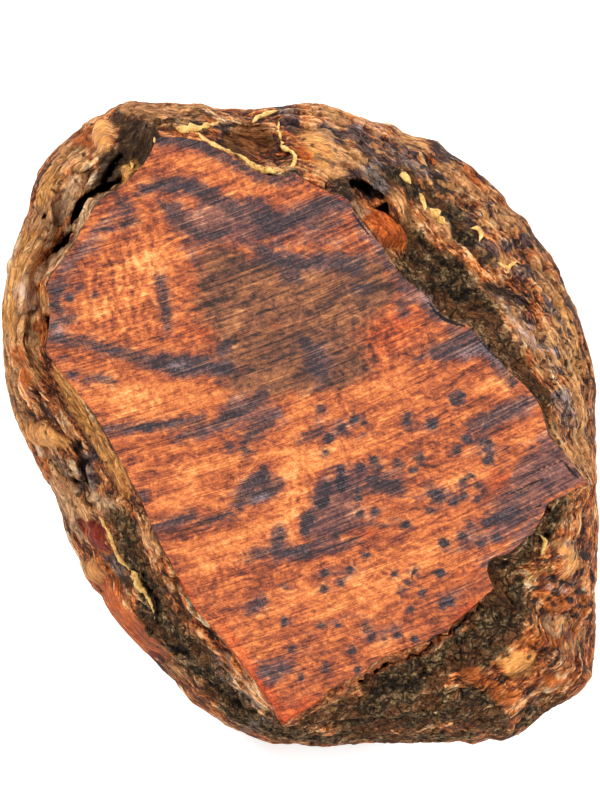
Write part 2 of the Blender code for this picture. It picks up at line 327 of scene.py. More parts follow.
# Amber
AMBER_WOOD = [
    [(141, 533, 4), (150, 541, 6), (158, 548, 4)],
    [(103, 124, 6), (104, 132, 8), (103, 144, 7)],
    [(307, 135, 9), (322, 150, 14), (335, 165, 12), (322, 172, 6)],
    [(345, 150, 8), (360, 158, 6)],
    [(330, 112, 6), (344, 118, 6)],
    [(440, 165, 5), (455, 172, 7), (465, 182, 6)],
    [(478, 190, 6), (490, 196, 7)],
    [(503, 212, 6), (514, 226, 6)],
    [(386, 244, 4), (394, 256, 4), (400, 266, 3)],
    [(398, 196, 6), (408, 212, 6), (416, 226, 5)],
    [(432, 212, 6), (444, 226, 7), (452, 238, 5)],
    [(565, 500, 4), (558, 520, 5), (560, 548, 7), (572, 566, 7)],
    [(205, 108, 5), (190, 112, 10), (165, 113, 10), (142, 108, 6), (122, 106, 4)],
    [(300, 714, 2), (320, 702, 3), (350, 686, 4), (380, 665, 4), (410, 655, 3)],
    [(436, 668, 4), (446, 676, 4)],
    [(420, 723, 3), (414, 728, 2)],
    [(75, 132, 5), (60, 160, 8), (45, 200, 8), (32, 230, 9), (22, 262, 8), (16, 300, 7)],
    [(84, 150, 7), (78, 172, 7), (66, 192, 6)],
    [(30, 320, 8), (26, 350, 8), (34, 380, 6)],
    [(80, 520, 9), (72, 500, 8), (60, 480, 7), (48, 462, 6)],
    [(556, 324, 7), (570, 355, 8), (580, 392, 8), (582, 440, 8), (584, 470, 6)],
    [(540, 262, 7), (552, 284, 7), (560, 302, 6)],
    [(545, 410, 5), (555, 440, 6), (572, 462, 5)],
    [(516, 312, 5), (528, 334, 6), (538, 352, 6), (545, 372, 5)],
    [(235, 136, 8), (250, 140, 11), (266, 138, 9)],
    [(170, 670, 5), (185, 674, 6)],
    [(425, 140, 5), (400, 138, 6)],
    [(10, 320, 5), (8, 350, 5), (12, 384, 5), (20, 420, 5)],
    [(26, 316, 5), (24, 332, 5)],
    [(40, 232, 6), (33, 250, 7), (28, 266, 5)],
    [(38, 298, 6), (36, 316, 7), (38, 338, 6)],
    [(112, 458, 4), (122, 480, 4)],
    [(560, 625, 7), (578, 632, 6), (572, 648, 5)],
    [(500, 262, 5), (512, 258, 5)],
]

# Smooth ochre
OCHRE_WOOD = [
    [(54, 374, 3), (65, 390, 6), (77, 407, 8), (90, 428, 9), (103, 452, 8), (114, 474, 7),
     (124, 494, 4)],
    [(24, 428, 5), (34, 434, 8), (48, 438, 9), (60, 444, 5)],
    [(28, 234, 4), (18, 258, 5), (12, 284, 6), (10, 312, 5), (9, 332, 4)],
    [(52, 170, 4), (46, 186, 5), (40, 200, 4)],
    [(90, 565, 4), (96, 576, 6)],
    [(504, 660, 6), (516, 662, 10), (528, 658, 7)],
    [(512, 672, 6), (524, 670, 6)],
    [(131, 164, 4.5), (127, 172, 6.5), (123, 181, 5)],
    [(534, 330, 4), (542, 340, 5), (546, 352, 4)],
    [(560, 296, 3), (572, 330, 4), (580, 366, 4)],
    [(306, 136, 5), (316, 148, 9), (326, 160, 8)],
    [(104, 126, 4), (104, 140, 5)],
    [(562, 548, 4), (574, 566, 4)],
]

# Ruddy orange
RUDDY_WOOD = [
    [(84, 530, 4), (94, 534, 6), (102, 542, 7), (108, 550, 4)],
    [(99, 580, 8), (110, 598, 13), (122, 614, 14), (136, 632, 14), (152, 650, 10), (163, 660, 5)],
    [(16, 350, 3), (22, 364, 4), (29, 384, 4)],
    [(74, 138, 3), (84, 130, 4), (90, 150, 3)],
    [(42, 316, 4), (40, 334, 5), (46, 350, 4)],
    [(361, 208, 4), (372, 220, 8), (386, 231, 11), (400, 240, 8)],
    [(488, 690, 8), (506, 702, 8)],
    [(470, 672, 8), (482, 686, 7)],
    [(40, 462, 6), (50, 480, 6), (60, 496, 4)],
    [(560, 640, 6), (575, 632, 5)],
    [(505, 640, 4), (540, 640, 3)],
    [(560, 536, 5), (570, 530, 4)],
    [(545, 590, 9), (560, 602, 12), (582, 602, 10)],
    [(300, 150, 3), (312, 160, 4)],
    [(468, 172, 5), (480, 182, 5)],
    [(120, 460, 3), (130, 478, 3)],
    [(300, 718, 3), (330, 704, 3)],
    [(545, 680, 4), (560, 676, 4)],
]

# Deep waxed red
GARNET_WOOD = [
    [(78, 523, 3), (88, 528, 6), (98, 536, 6), (106, 546, 4)],
    [(152, 655, 3), (160, 660, 2)],
]

# Slate grey
SLATE_WOOD = [
    [(325, 130, 4), (340, 136, 6)],
    [(366, 142, 6), (378, 144, 5)],
    [(345, 172, 4), (362, 166, 8), (378, 172, 9), (386, 182, 6)],
    [(352, 128, 4), (366, 138, 6), (372, 150, 5)],
    [(392, 148, 7), (398, 162, 7)],
    [(398, 150, 6), (412, 158, 8), (428, 170, 7), (440, 182, 5)],
    [(225, 126, 5), (228, 136, 5), (236, 146, 4)],
    [(440, 148, 5), (452, 158, 6)],
    [(448, 205, 5), (462, 218, 7), (474, 232, 6)],
    [(478, 246, 6), (492, 254, 6)],
    [(488, 286, 4), (505, 292, 5), (520, 298, 6)],
    [(520, 272, 7), (532, 270, 6)],
    [(505, 244, 4), (525, 240, 5)],
    [(524, 316, 5), (540, 335, 6), (552, 350, 6), (560, 365, 5)],
    [(506, 352, 5), (520, 368, 6), (534, 386, 5), (545, 402, 5)],
    [(562, 395, 4), (572, 425, 4)],
    [(548, 298, 5), (562, 320, 5), (570, 340, 4)],
    [(336, 182, 5), (346, 188, 5)],
    [(28, 322, 4), (30, 336, 3)],
    [(62, 352, 2), (52, 340, 3)],
    [(108, 558, 4), (120, 570, 5)],
    [(165, 642, 5), (178, 650, 5)],
    [(572, 582, 4)],
    [(520, 660, 3)],
    [(283, 112, 5), (292, 122, 5)],
    [(556, 545, 5), (572, 548, 5)],
    [(540, 470, 3), (566, 480, 3)],
    [(88, 450, 3), (84, 470, 4), (92, 488, 3)],
    [(52, 458, 4), (66, 472, 4), (78, 490, 3)],
]

# Crumbling brown bark
BARK = [
    [(412, 240, 12), (425, 262, 20), (445, 278, 22), (468, 300, 20), (492, 322, 16), (508, 345, 10)],
    [(405, 262, 8), (425, 292, 8), (450, 312, 8), (478, 328, 8), (500, 350, 7), (520, 375, 6),
     (538, 400, 5)],
    [(508, 345, 8), (520, 362, 7), (534, 385, 7), (545, 405, 6), (552, 425, 4)],
    [(400, 175, 10), (425, 190, 10), (445, 212, 12), (465, 235, 12)],
    [(550, 520, 8), (540, 540, 8), (520, 558, 10), (505, 572, 12), (510, 590, 14)],
    [(492, 562, 7), (492, 580, 8), (484, 604, 8), (468, 622, 7)],
    [(566, 500, 6), (556, 515, 8)],
    [(510, 600, 20), (500, 625, 24), (480, 650, 20)],
    [(375, 690, 14), (400, 685, 18), (430, 672, 18), (455, 655, 16), (480, 640, 12)],
    [(310, 722, 10), (340, 714, 16), (380, 715, 18), (430, 710, 20), (480, 708, 18), (500, 725, 12)],
    [(116, 512, 7), (124, 535, 10), (134, 560, 12), (148, 590, 13), (164, 622, 15), (186, 650, 16)],
    [(186, 650, 17), (215, 685, 17), (245, 714, 15), (280, 732, 10), (330, 742, 6)],
    [(340, 738, 6), (400, 738, 7), (470, 738, 6)],
    [(560, 700, 8), (530, 720, 8)],
    [(205, 122, 6), (185, 120, 6), (165, 122, 6), (150, 124, 6)],
]

# Wood darkened by fire, and painted shade where wood and bark lie in shadow
CHARRED_AND_SHADED_WOOD = [
    [(120, 120, 6), (130, 130, 13), (135, 145, 17), (126, 160, 17), (114, 172, 12), (104, 180, 7)],
    [(144, 120, 9), (150, 134, 9), (156, 150, 5)],
    [(335, 180, 5), (346, 188, 7), (352, 196, 4)],
    [(372, 172, 6), (382, 182, 6), (386, 190, 4)],
    [(436, 180, 5), (448, 190, 5)],
    [(489, 286, 3), (500, 290, 4), (512, 292, 3)],
    [(470, 245, 4), (485, 255, 4), (497, 262, 3)],
    [(112, 580, 3), (128, 582, 4)],
    [(535, 508, 3), (548, 525, 4)],
    [(436, 284, 6), (456, 297, 11), (478, 311, 12), (497, 328, 8)],
    [(505, 345, 5), (520, 365, 6), (535, 388, 5), (546, 406, 4)],
    [(112, 152, 6), (106, 168, 8), (97, 184, 6)],
    [(390, 172, 7), (412, 185, 8), (432, 198, 8)],
    [(446, 214, 6), (462, 232, 7), (476, 248, 5)],
    [(228, 128, 5), (230, 138, 6), (236, 148, 4)],
    [(375, 690, 8), (400, 688, 8)],
    [(494, 570, 5), (488, 585, 5)],
]

# Ribbons of yellow inner bark
YELLOW_BAST = [
    [(175, 128, 3), (184, 130, 5), (194, 129, 4.5), (204, 127, 3), (213, 125, 3), (219, 122, 1.8)],
    [(199, 132, 2.4), (200, 138, 2.2), (206, 141, 2.8), (213, 146, 3.2), (224, 150, 2.4),
     (237, 154, 2.6)],
    [(237, 154, 2.6), (245, 159, 2.8), (254, 167, 2.6), (263, 170, 2.8), (275, 171, 2.8),
     (286, 170, 2.4)],
    [(286, 170, 2.4), (293, 166, 2.2), (295, 159, 2.0), (293, 152, 2.0), (284, 149, 3.4),
     (281, 140, 2.0)],
    [(281, 140, 2.0), (278, 130, 1.5), (279, 120, 1.2)],
    [(250, 124, 1.4), (258, 117, 2.4), (268, 113, 2.2), (278, 111, 2.2)],
    [(154, 137, 1.5), (155, 143, 1.7)],
    [(130, 162, 1.4), (134, 166, 1.8), (130, 171, 1.4)],
    [(115, 163, 1.4), (116.5, 164, 0.6)],
    [(9, 293, 2), (10, 299, 2.5), (9, 308, 1)],
    [(99, 515, 3), (105, 525, 2), (112, 538, 1.7), (115, 550, 1.9), (121, 561, 2.2), (131, 570, 3)],
    [(131, 570, 3), (137, 576, 5), (138, 584, 4), (146, 594, 1.7), (152, 604, 1.5), (155, 619, 1.0)],
    [(401, 172, 3), (406, 178, 4.5), (411, 184, 2.5)],
    [(419, 192, 2.4), (423, 200, 2.4), (425, 210, 2.2)],
    [(430, 208, 3), (436, 214, 5), (444, 224, 4)],
    [(470, 229, 2.4), (478, 228, 3), (482, 235, 2.6), (478, 242, 2)],
    [(540, 535, 2.8), (546, 540, 2.2), (541, 556, 1.4)],
    [(533, 575, 1.4), (527, 583, 1.4)],
    [(498, 262, 1.6), (508, 268, 2), (516, 262, 2)],
]

# Painted sheen: grey reflections of the lights on the waxed wall
PAINTED_GREY_SHEEN = [
    [(22, 288, 5), (27, 300, 6), (30, 312, 4)],
    [(462, 632, 3)],
    [(516, 332, 3), (522, 342, 4)],
    [(505, 312, 5), (530, 330, 6), (550, 350, 5)],
    [(372, 168, 6), (384, 182, 5)],
    [(552, 586, 5), (570, 592, 4)],
    [(420, 292, 3), (436, 306, 4), (452, 320, 4), (466, 322, 3)],
    [(560, 395, 3), (566, 410, 3)],
    [(245, 730, 2), (268, 722, 3), (240, 690, 2), (215, 662, 3)],
    [(356, 118, 2), (380, 132, 2)],
]

# Small dark eyes of the wall as (u, v, radius) in pixels
WALL_EYES = [
    (555, 580, 4), (564, 583, 3), (556, 592, 4), (569, 600, 2.5), (553, 603, 2.5), (582, 592, 3),
    (580, 606, 3), (590, 604, 3), (543, 611, 3), (578, 616, 2.5), (588, 617, 2.5), (566, 612, 2),
    (585, 556, 4), (573, 612, 2), (535, 600, 2.5), (595, 580, 2),
]

# Soft zones: (u, v), (half sizes) in pixels, turn in degrees, strength. Here the wall's grain
# runs wild
WILD_ZONES = [
    ((470, 195), (85, 40), -45, 0.9), ((548, 320), (45, 90), 20, 1.0), ((572, 450), (34, 90), 0, 1.0),
    ((560, 600), (45, 60), 0, 0.9), ((335, 150), (55, 28), -10, 0.7), ((60, 480), (60, 34), -60, 0.6),
    ((130, 640), (50, 24), -50, 0.3), ((400, 145), (50, 20), -25, 0.7),
]

# The figure of the sawn face: small dark eyes as (u, v, radius) in pixels
FACE_EYES = [
    (457, 398, 8), (320, 409, 4.5), (354, 419, 4.5), (342, 428, 3.5), (363, 422, 3.5), (328, 438, 5),
    (326, 453, 3.5), (407, 415, 3), (407, 422, 4.5), (432, 424, 5.5), (466, 439, 5), (488, 443, 4),
    (482, 442, 3), (456, 450, 4.5), (490, 452, 4.5), (488, 460, 5), (419, 458, 5), (399, 464, 4.5),
    (413, 470, 3.5), (374, 461, 4.5), (379, 467, 3.5), (360, 468, 5), (341, 470, 4.5), (341, 481, 6),
    (342, 488, 4.5), (357, 491, 3.5), (327, 486, 4.5), (322, 500, 8), (308, 519, 7), (305, 531, 5),
    (377, 478, 3.5), (370, 479, 3.5), (358, 498, 3.5), (469, 476, 3), (463, 483, 3.5), (479, 487, 3.5),
    (437, 497, 6.5), (431, 493, 3), (463, 496, 3.5), (453, 503, 3.5), (478, 499, 3), (430, 510, 4),
    (406, 525, 4), (374, 512, 3.5), (360, 514, 3.5), (470, 525, 3.5), (463, 536, 5), (444, 543, 5),
    (481, 543, 4), (335, 535, 3), (365, 556, 3.5), (350, 569, 4), (340, 582, 3.5), (324, 589, 4),
    (324, 573, 3.5), (394, 574, 3), (414, 572, 3.5), (440, 573, 4), (407, 583, 2.5), (422, 593, 3.5),
    (410, 609, 3), (403, 590, 2.5), (443, 605, 3.5), (451, 601, 4.5), (285, 621, 4), (320, 625, 3),
    (337, 625, 3), (292, 650, 4), (372, 638, 4), (397, 635, 3.5), (384, 639, 3), (414, 639, 3.5),
    (352, 650, 3.5), (325, 668, 4), (301, 677, 3.5), (357, 669, 3), (285, 588, 3.5), (79, 288, 3),
    (95, 295, 3), (57, 304, 4), (70, 298, 4), (72, 375, 2.5), (143, 495, 3.5), (497, 538, 4),
]

# Dark streaks of the face as chains of (u, v, half width) in pixels
FACE_STREAKS = [
    [(144, 190, 2.5), (156, 186, 4), (168, 183, 4.5), (182, 183, 5), (194, 187, 5), (208, 195, 5)],
    [(208, 195, 5), (222, 202, 5), (232, 211, 5), (241, 217, 4)],
    [(162, 204, 2), (172, 213, 3.5), (184, 226, 4), (198, 235, 4), (212, 238, 3.5), (226, 231, 2)],
    [(121, 204, 3), (128, 208, 3)],
    [(124, 226, 2), (134, 219, 2.5)],
    [(250, 203, 3.5), (257, 205, 4.5), (266, 212, 4)],
    [(256, 216, 6), (266, 224, 5.5), (279, 226, 4.5), (290, 221, 4), (301, 214, 5), (310, 210, 4)],
    [(311, 213, 4), (322, 205, 6), (332, 199, 5), (342, 198, 3)],
    [(312, 228, 2), (325, 225, 3), (337, 222, 2)],
    [(257, 247, 2.5), (272, 256, 4), (285, 262, 4), (299, 266, 4), (318, 262, 3.5)],
    [(334, 262, 2.5), (345, 264, 4.5), (356, 268, 5), (361, 260, 3.5)],
    [(286, 275, 3), (297, 279, 3)],
    [(354, 290, 3), (366, 288, 3)],
    [(400, 303, 3), (403, 312, 3.5)],
    [(306, 344, 5), (315, 352, 6), (312, 364, 5), (321, 374, 4.5)],
    [(436, 351, 2.5), (450, 347, 4), (464, 339, 4), (474, 333, 3)],
    [(484, 346, 4), (497, 362, 4), (511, 380, 4)],
    [(157, 140, 2.5), (170, 138, 3), (182, 139, 3.5), (196, 143, 4), (208, 150, 4), (222, 156, 3.5)],
    [(222, 156, 3.5), (236, 163, 3.5), (250, 171, 3.5), (262, 177, 3.5), (277, 180, 3.5),
     (292, 177, 3)],
    [(160, 278, 2), (163, 290, 3.5), (164, 303, 3.5), (166, 315, 2.5), (167, 330, 1)],
    [(50, 288, 2), (58, 292, 2)],
    [(48, 308, 3), (60, 309, 2)],
    [(50, 325, 2), (62, 321, 2.5), (74, 318, 1.5)],
    [(50, 338, 2), (69, 340, 2.5), (90, 343, 3), (105, 349, 3.5), (124, 353, 3.5), (147, 361, 4)],
    [(147, 361, 4), (163, 362, 7), (180, 366, 9), (193, 366, 7), (205, 360, 3)],
    [(207, 369, 3), (216, 370, 6), (227, 367, 4.5)],
    [(222, 352, 2.5), (228, 344, 2)],
    [(84, 379, 1), (100, 378, 2), (112, 382, 1.5)],
    [(104, 430, 2), (125, 429, 2.2), (150, 426, 2.5), (170, 424, 2.8), (190, 421, 2.8), (203, 419, 2)],
    [(176, 438, 1.5), (188, 434, 2.2), (203, 429, 2.5)],
    [(217, 424, 2.5), (228, 416, 5), (240, 408, 5.5), (252, 402, 4.5), (263, 395, 4)],
    [(249, 436, 4), (258, 428, 6), (268, 422, 4)],
    [(244, 443, 2.5), (247, 452, 2.5)],
    [(230, 448, 2.5)],
    [(238, 506, 3), (243, 495, 4.5), (250, 483, 4.5), (262, 474, 4.5), (266, 482, 4)],
    [(256, 498, 4), (266, 492, 5.5), (278, 484, 4)],
    [(154, 529, 1.5), (165, 525, 2.8), (178, 520, 2.8), (191, 515, 2)],
    [(200, 523, 1.2), (215, 518, 1.5), (232, 514, 1.2)],
    [(281, 530, 2), (279, 540, 3.5), (275, 548, 3.5)],
    [(250, 557, 2.5), (260, 553, 3), (270, 551, 2.5)],
    [(285, 553, 1.5), (296, 553, 3), (307, 548, 1.5)],
    [(250, 609, 3.5), (262, 602, 4)],
    [(264, 669, 2.5), (272, 676, 3.5), (282, 667, 3.5)],
    [(472, 425, 2.5), (482, 421, 4), (491, 416, 3)],
    [(495, 414, 2), (511, 408, 3.5), (524, 402, 2)],
    [(375, 484, 3.5), (388, 487, 5.5), (400, 490, 4)],
    [(430, 488, 3), (440, 499, 4)],
    [(490, 520, 4), (500, 517, 6), (512, 511, 5)],
    [(366, 624, 2), (370, 634, 2.5)],
    [(500, 500, 1.5), (520, 492, 2)],
    [(320, 432, 2), (300, 440, 1.5)],
]

# Splits that open in the face near its edge
FACE_SPLITS = [
    [(429, 303, 0.2), (436, 312, 1.2), (445, 319, 2.0), (455, 323, 1.6), (465, 326, 0.4)],
    [(478, 339, 0.2), (487, 348, 0.7), (496, 358, 0.2)],
    [(352, 212, 0.2), (361, 225, 0.6), (370, 236, 0.2)],
    [(562, 460, 0.2), (570, 470, 1.0), (578, 478, 0.4)],
    [(540, 455, 0.1), (556, 449, 0.5)],
    [(520, 478, 0.1), (538, 470, 0.6), (560, 461, 0.4)],
    [(505, 497, 0.1), (526, 486, 0.5), (545, 478, 0.3)],
    [(525, 512, 0.1), (541, 505, 0.5)],
]

# Glowing red wood along the face's edge
GLOWING_EDGES = [
    [(164, 550, 0.3), (180, 578, 0.6), (198, 610, 0.9), (218, 634, 1.3), (238, 658, 1.6), (256, 680, 2),
     (270, 700, 2.4), (282, 720, 2.4)],
    [(284, 720, 2.4), (300, 712, 2), (320, 700, 1.2)],
    [(448, 628, 0.6), (462, 616, 1.6), (478, 604, 1.8), (492, 592, 1.2)],
    [(365, 672, 0.6), (385, 660, 0.8), (402, 652, 0.6)],
    [(312, 184, 0.4), (330, 194, 0.5), (350, 202, 0.4)],
]

# Soft zones of the face: where its figure runs in upright flames
FLAMED_ZONES = [
    ((130, 275), (50, 60), 0, 1.0), ((95, 310), (40, 24), 0, 0.5), ((240, 180), (50, 14), -18, 0.5),
    ((150, 395), (50, 20), -10, 0.6), ((380, 340), (40, 44), 20, 0.8), ((300, 490), (20, 50), -10, 0.6),
    ((215, 570), (34, 30), 20, 0.5), ((500, 390), (26, 20), 20, 0.4), ((222, 340), (26, 26), 0, 0.7),
]

# Golden wood
GOLDEN_ZONES = [
    ((150, 250), (20, 44), 6, 0.45), ((120, 285), (42, 30), 0, 0.4), ((92, 312), (30, 17), 0, 0.8),
    ((172, 300), (8, 28), 8, 0.5), ((225, 175), (36, 12), -18, 0.6), ((272, 190), (30, 9), 0, 0.5),
    ((150, 400), (50, 20), -10, 0.8), ((105, 380), (30, 14), -32, 0.4), ((200, 400), (20, 16), 0, 0.4),
    ((303, 463), (24, 18), 8, 1.0), ((290, 508), (13, 36), -8, 0.8), ((250, 540), (40, 20), 20, 0.6),
    ((200, 470), (52, 18), 16, 0.5), ((180, 505), (30, 10), 20, 0.6), ((370, 396), (74, 13), 12, 0.5),
    ((500, 380), (30, 15), 20, 0.6), ((462, 474), (34, 14), 12, 0.8), ((385, 580), (36, 26), 20, 0.6),
    ((350, 620), (44, 24), 20, 0.5), ((240, 645), (30, 30), 24, 0.3), ((430, 545), (42, 14), 18, 0.5),
    ((300, 600), (40, 18), 22, 0.4), ((524, 433), (18, 10), 10, 0.6), ((400, 440), (40, 9), 14, 0.5),
    ((345, 450), (44, 10), 14, 0.5), ((160, 270), (12, 14), 0, 0.3), ((215, 560), (28, 20), 20, 0.4),
]

# Dull olive wood
DULL_ZONES = [
    ((262, 292), (70, 42), 10, 1.0), ((330, 300), (60, 38), 15, 0.9), ((235, 330), (32, 48), 0, 0.8),
    ((300, 362), (60, 34), 5, 1.0), ((262, 375), (38, 22), 10, 0.7), ((365, 282), (36, 30), 20, 0.7),
    ((215, 262), (28, 24), 0, 0.5), ((345, 372), (28, 18), 20, 0.5), ((205, 215), (40, 14), -15, 0.4),
    ((345, 535), (74, 9), 19, 0.6), ((280, 590), (80, 6), 18, 0.35), ((400, 470), (110, 20), 17, 0.25),
    ((250, 445), (50, 10), 12, 0.4), ((430, 345), (34, 16), 14, 0.3), ((480, 510), (40, 10), 22, 0.35),
]

# Dusky violet wood
DUSK_ZONES = [
    ((180, 142), (42, 9), 0, 0.9), ((207, 222), (44, 17), -20, 1.0), ((182, 188), (36, 9), -4, 0.8),
    ((240, 212), (22, 14), -30, 0.9), ((290, 220), (46, 15), 6, 0.9), ((290, 261), (44, 9), -3, 0.9),
    ((340, 262), (30, 10), 4, 0.7), ((330, 202), (24, 10), 20, 0.8), ((320, 240), (50, 9), 4, 0.6),
    ((98, 235), (50, 12), 47, 0.8), ((60, 290), (14, 34), -4, 0.55), ((56, 330), (14, 12), 0, 0.6),
    ((72, 366), (34, 7), -42, 0.35), ((190, 250), (14, 26), 20, 0.5),
    ((376, 240), (56, 10), -54, 0.95), ((428, 304), (46, 9), -40, 0.95),
    ((466, 348), (24, 14), 12, 1.0), ((440, 352), (24, 9), 12, 0.8),
    ((502, 416), (36, 9), 20, 1.0), ((548, 458), (24, 32), -35, 1.0),
    ((562, 478), (36, 16), 27, 1.0), ((525, 398), (12, 16), -40, 0.6), ((515, 512), (32, 18), 24, 0.9),
    ((525, 475), (24, 14), 25, 0.6), ((470, 540), (34, 12), 22, 0.7), ((488, 562), (14, 14), 0, 0.7),
    ((318, 360), (16, 32), 0, 0.75), ((190, 366), (46, 11), -3, 1.0), ((110, 348), (40, 6), -12, 0.6),
    ((244, 406), (20, 13), 10, 0.9), ((276, 416), (14, 12), 0, 0.8), ((160, 426), (46, 6), 2, 0.7),
    ((225, 428), (50, 10), 14, 0.6), ((254, 490), (24, 18), 25, 1.0), ((330, 500), (20, 34), -14, 0.85),
    ((372, 480), (42, 18), 14, 0.8), ((345, 524), (56, 16), 12, 0.7), ((302, 553), (54, 8), 8, 0.7),
    ((277, 540), (9, 16), 0, 0.8), ((335, 575), (30, 14), 10, 0.55), ((340, 428), (30, 14), -20, 0.75),
    ((420, 425), (26, 11), 5, 0.65), ((484, 450), (18, 18), 0, 0.6), ((436, 500), (24, 12), 0, 0.6),
    ((452, 595), (24, 11), 28, 0.5), ((275, 671), (22, 17), 0, 0.75), ((256, 604), (20, 10), 20, 0.6),
    ((178, 522), (32, 6), 14, 0.6), ((390, 632), (34, 12), 16, 0.5),
    ((465, 490), (26, 16), 0, 0.35), ((400, 300), (20, 10), 0, 0.4), ((165, 305), (6, 34), 0, 0.55),
    ((520, 540), (30, 12), 40, 0.6), ((320, 625), (30, 9), 12, 0.35), ((300, 655), (30, 12), 30, 0.35),
]

# Ember red wood
EMBER_ZONES = [
    ((212, 338), (9, 18), 10, 0.9), ((275, 324), (8, 6), 0, 0.9), ((240, 336), (7, 5), 0, 0.6),
    ((392, 330), (44, 26), 30, 0.7), ((242, 372), (12, 5), 0, 0.5), ((228, 245), (12, 8), 0, 0.5),
    ((240, 650), (62, 6), -55, 0.8), ((268, 694), (26, 8), -54, 0.9), ((300, 706), (22, 6), 32, 0.8),
    ((185, 590), (24, 5), -60, 0.6), ((365, 533), (18, 8), 15, 0.6), ((415, 625), (34, 6), 25, 0.4),
    ((465, 608), (26, 4), 38, 0.7), ((500, 480), (20, 18), 20, 0.6), ((500, 530), (20, 10), 20, 0.4),
    ((150, 460), (26, 10), 0, 0.3), ((190, 335), (16, 20), 0, 0.4), ((340, 228), (14, 6), 0, 0.5),
    ((230, 230), (20, 8), -20, 0.4), ((215, 575), (20, 12), 0, 0.4), ((470, 570), (24, 12), 20, 0.4),
]

# Painted sheen: where the lights reflect grey off the waxed face
PAINTED_SHEEN_ZONES = [
    ((470, 352), (18, 8), 16, 1.0), ((448, 316), (20, 5), -38, 0.9), ((496, 360), (22, 5), -50, 0.7),
    ((556, 470), (30, 16), 28, 0.4), ((425, 300), (14, 4), -42, 0.7), ((58, 330), (10, 14), 0, 0.7),
    ((260, 498), (12, 5), 20, 1.0), ((340, 205), (14, 6), 0, 0.4), ((178, 366), (14, 7), 0, 0.8),
    ((278, 415), (8, 6), 0, 0.7), ((75, 258), (24, 5), 40, 0.6), ((100, 228), (20, 5), 45, 0.4),
    ((304, 551), (6, 4), 0, 0.8), ((490, 448), (6, 4), 0, 0.8), ((384, 250), (24, 4), -54, 0.5),
    ((75, 380), (30, 3), -45, 0.5),
]


def seen_place(pixels):
    """Pixels of the photograph as millimetres in the plane of the sawn face."""
    pixels = np.asarray(pixels, float)
    across = (pixels[..., 0] - PHOTO_MIDDLE[0]) * PIXEL + EYE[0]
    up = (PHOTO_MIDDLE[1] - pixels[..., 1]) * PIXEL + EYE[1]
    return np.stack((across, up), axis=-1)


def pixels_of(places):
    """Millimetres in the plane of the sawn face as pixels of the photograph."""
    across = (places[..., 0] - EYE[0]) / PIXEL + PHOTO_MIDDLE[0]
    down = PHOTO_MIDDLE[1] - (places[..., 1] - EYE[1]) / PIXEL
    return np.stack((across, down), axis=-1)


def shrinking(height):
    """How much smaller the camera sees a length at this height than one on the sawn face."""
    return 1 + (HEIGHT - height) / EYE_ABOVE_FACE


def spread(plan, growth):
    """A plan scaled about the point under the camera."""
    eye = np.array(EYE)
    return eye + (plan - eye) * growth[..., None]


def true_place(seen, height):
    """Where a point lies that the camera sees at `seen`: lower points look nearer to the middle."""
    return spread(seen, shrinking(height))


def smooth_curve(places, values, at):
    """Reads a smooth curve through the points (places, values) at each of the places in `at`."""
    places = np.asarray(places, float)
    values = np.asarray(values, float)
    slopes = np.gradient(values, places)
    left = np.clip(np.searchsorted(places, at, side="right") - 1, 0, len(places) - 2)
    gap = places[left + 1] - places[left]
    part = (at - places[left]) / gap
    rest = 1 - part
    ends = values[left] * rest * rest * (1 + 2 * part)
    ends = ends + values[left + 1] * part * part * (3 - 2 * part)
    return ends + gap * part * rest * (slopes[left] * rest - slopes[left + 1] * part)


def fade(start, end, value):
    """0 before start, 1 past end, and smooth between them."""
    part = np.clip((value - start) / (end - start), 0, 1)
    return part * part * (3 - 2 * part)


def grain_noise(places, octaves):
    """Fractal noise, about -1 to 1, at each row of places."""
    rough, step = 0.9, 2.0
    return np.array([noise.fractal(place, rough, step, octaves) for place in places.tolist()])


def ridge_noise(places, octaves):
    """Sharp crests and round valleys, about 0 to 2."""
    settings = (0.9, 2.1, octaves, 1.0, 2.0)
    return np.array([noise.ridged_multi_fractal(place, *settings) for place in places.tolist()])


def shifted_noise(places, octaves, shifts):
    """One column of noise for each shift of the places."""
    return np.column_stack([grain_noise(places + shift, octaves) for shift in shifts])


def cell_noise(places):
    """Scattered points: how far the nearest two lie, and two chance numbers of the nearest."""
    rows = []
    for place in places.tolist():
        gaps, points = noise.voronoi(place)
        chance = noise.cell(points[0] * CHANCE_SPREADS[0])
        other_chance = noise.cell(points[0] * CHANCE_SPREADS[1] + Vector(CHANCE_SHIFT))
        rows.append((gaps[0], gaps[1], chance, other_chance))
    return np.array(rows).T


def chain_gap(pixels, chain):
    """How far each pixel lies outside a chain of (u, v, half width), negative inside it."""
    if len(chain) == 1:
        chain = [chain[0], chain[0]]
    nearest = np.full(len(pixels), np.inf)
    for start, end in zip(chain, chain[1:]):
        start, end = np.array(start, float), np.array(end, float)
        run = end - start
        length = max(run[:2] @ run[:2], 1e-9)
        part = np.clip((pixels - start[:2]) @ run[:2] / length, 0, 1)
        middle = start + part[:, None] * run
        nearest = np.minimum(nearest, np.hypot(*(pixels - middle[:, :2]).T) - middle[:, 2])
    return nearest


def chains_gap(pixels, chains):
    """The gap to the nearest of several chains, up to the widest that a finish asks for."""
    return np.minimum(np.min([chain_gap(pixels, chain) for chain in chains], axis=0), WIDEST_GAP)


def oval_reach(pixels, middle, sizes, turn):
    """0 at the middle of an oval and 1 on its edge. The turn runs from +u upwards in the picture."""
    away = pixels - np.array(middle, float)
    along, across = math.cos(math.radians(turn)), -math.sin(math.radians(turn))
    first = (away[:, 0] * along + away[:, 1] * across) / sizes[0]
    second = (-away[:, 0] * across + away[:, 1] * along) / sizes[1]
    return np.hypot(first, second)


def zone_weight(pixels, zones):
    """How strongly soft ovals cover each pixel, 0 to 1."""
    total = np.zeros(len(pixels))
    for middle, sizes, turn, strength in zones:
        total += strength * np.exp(-(oval_reach(pixels, middle, sizes, turn) ** 2.0))
    return np.minimum(total, 1.0)


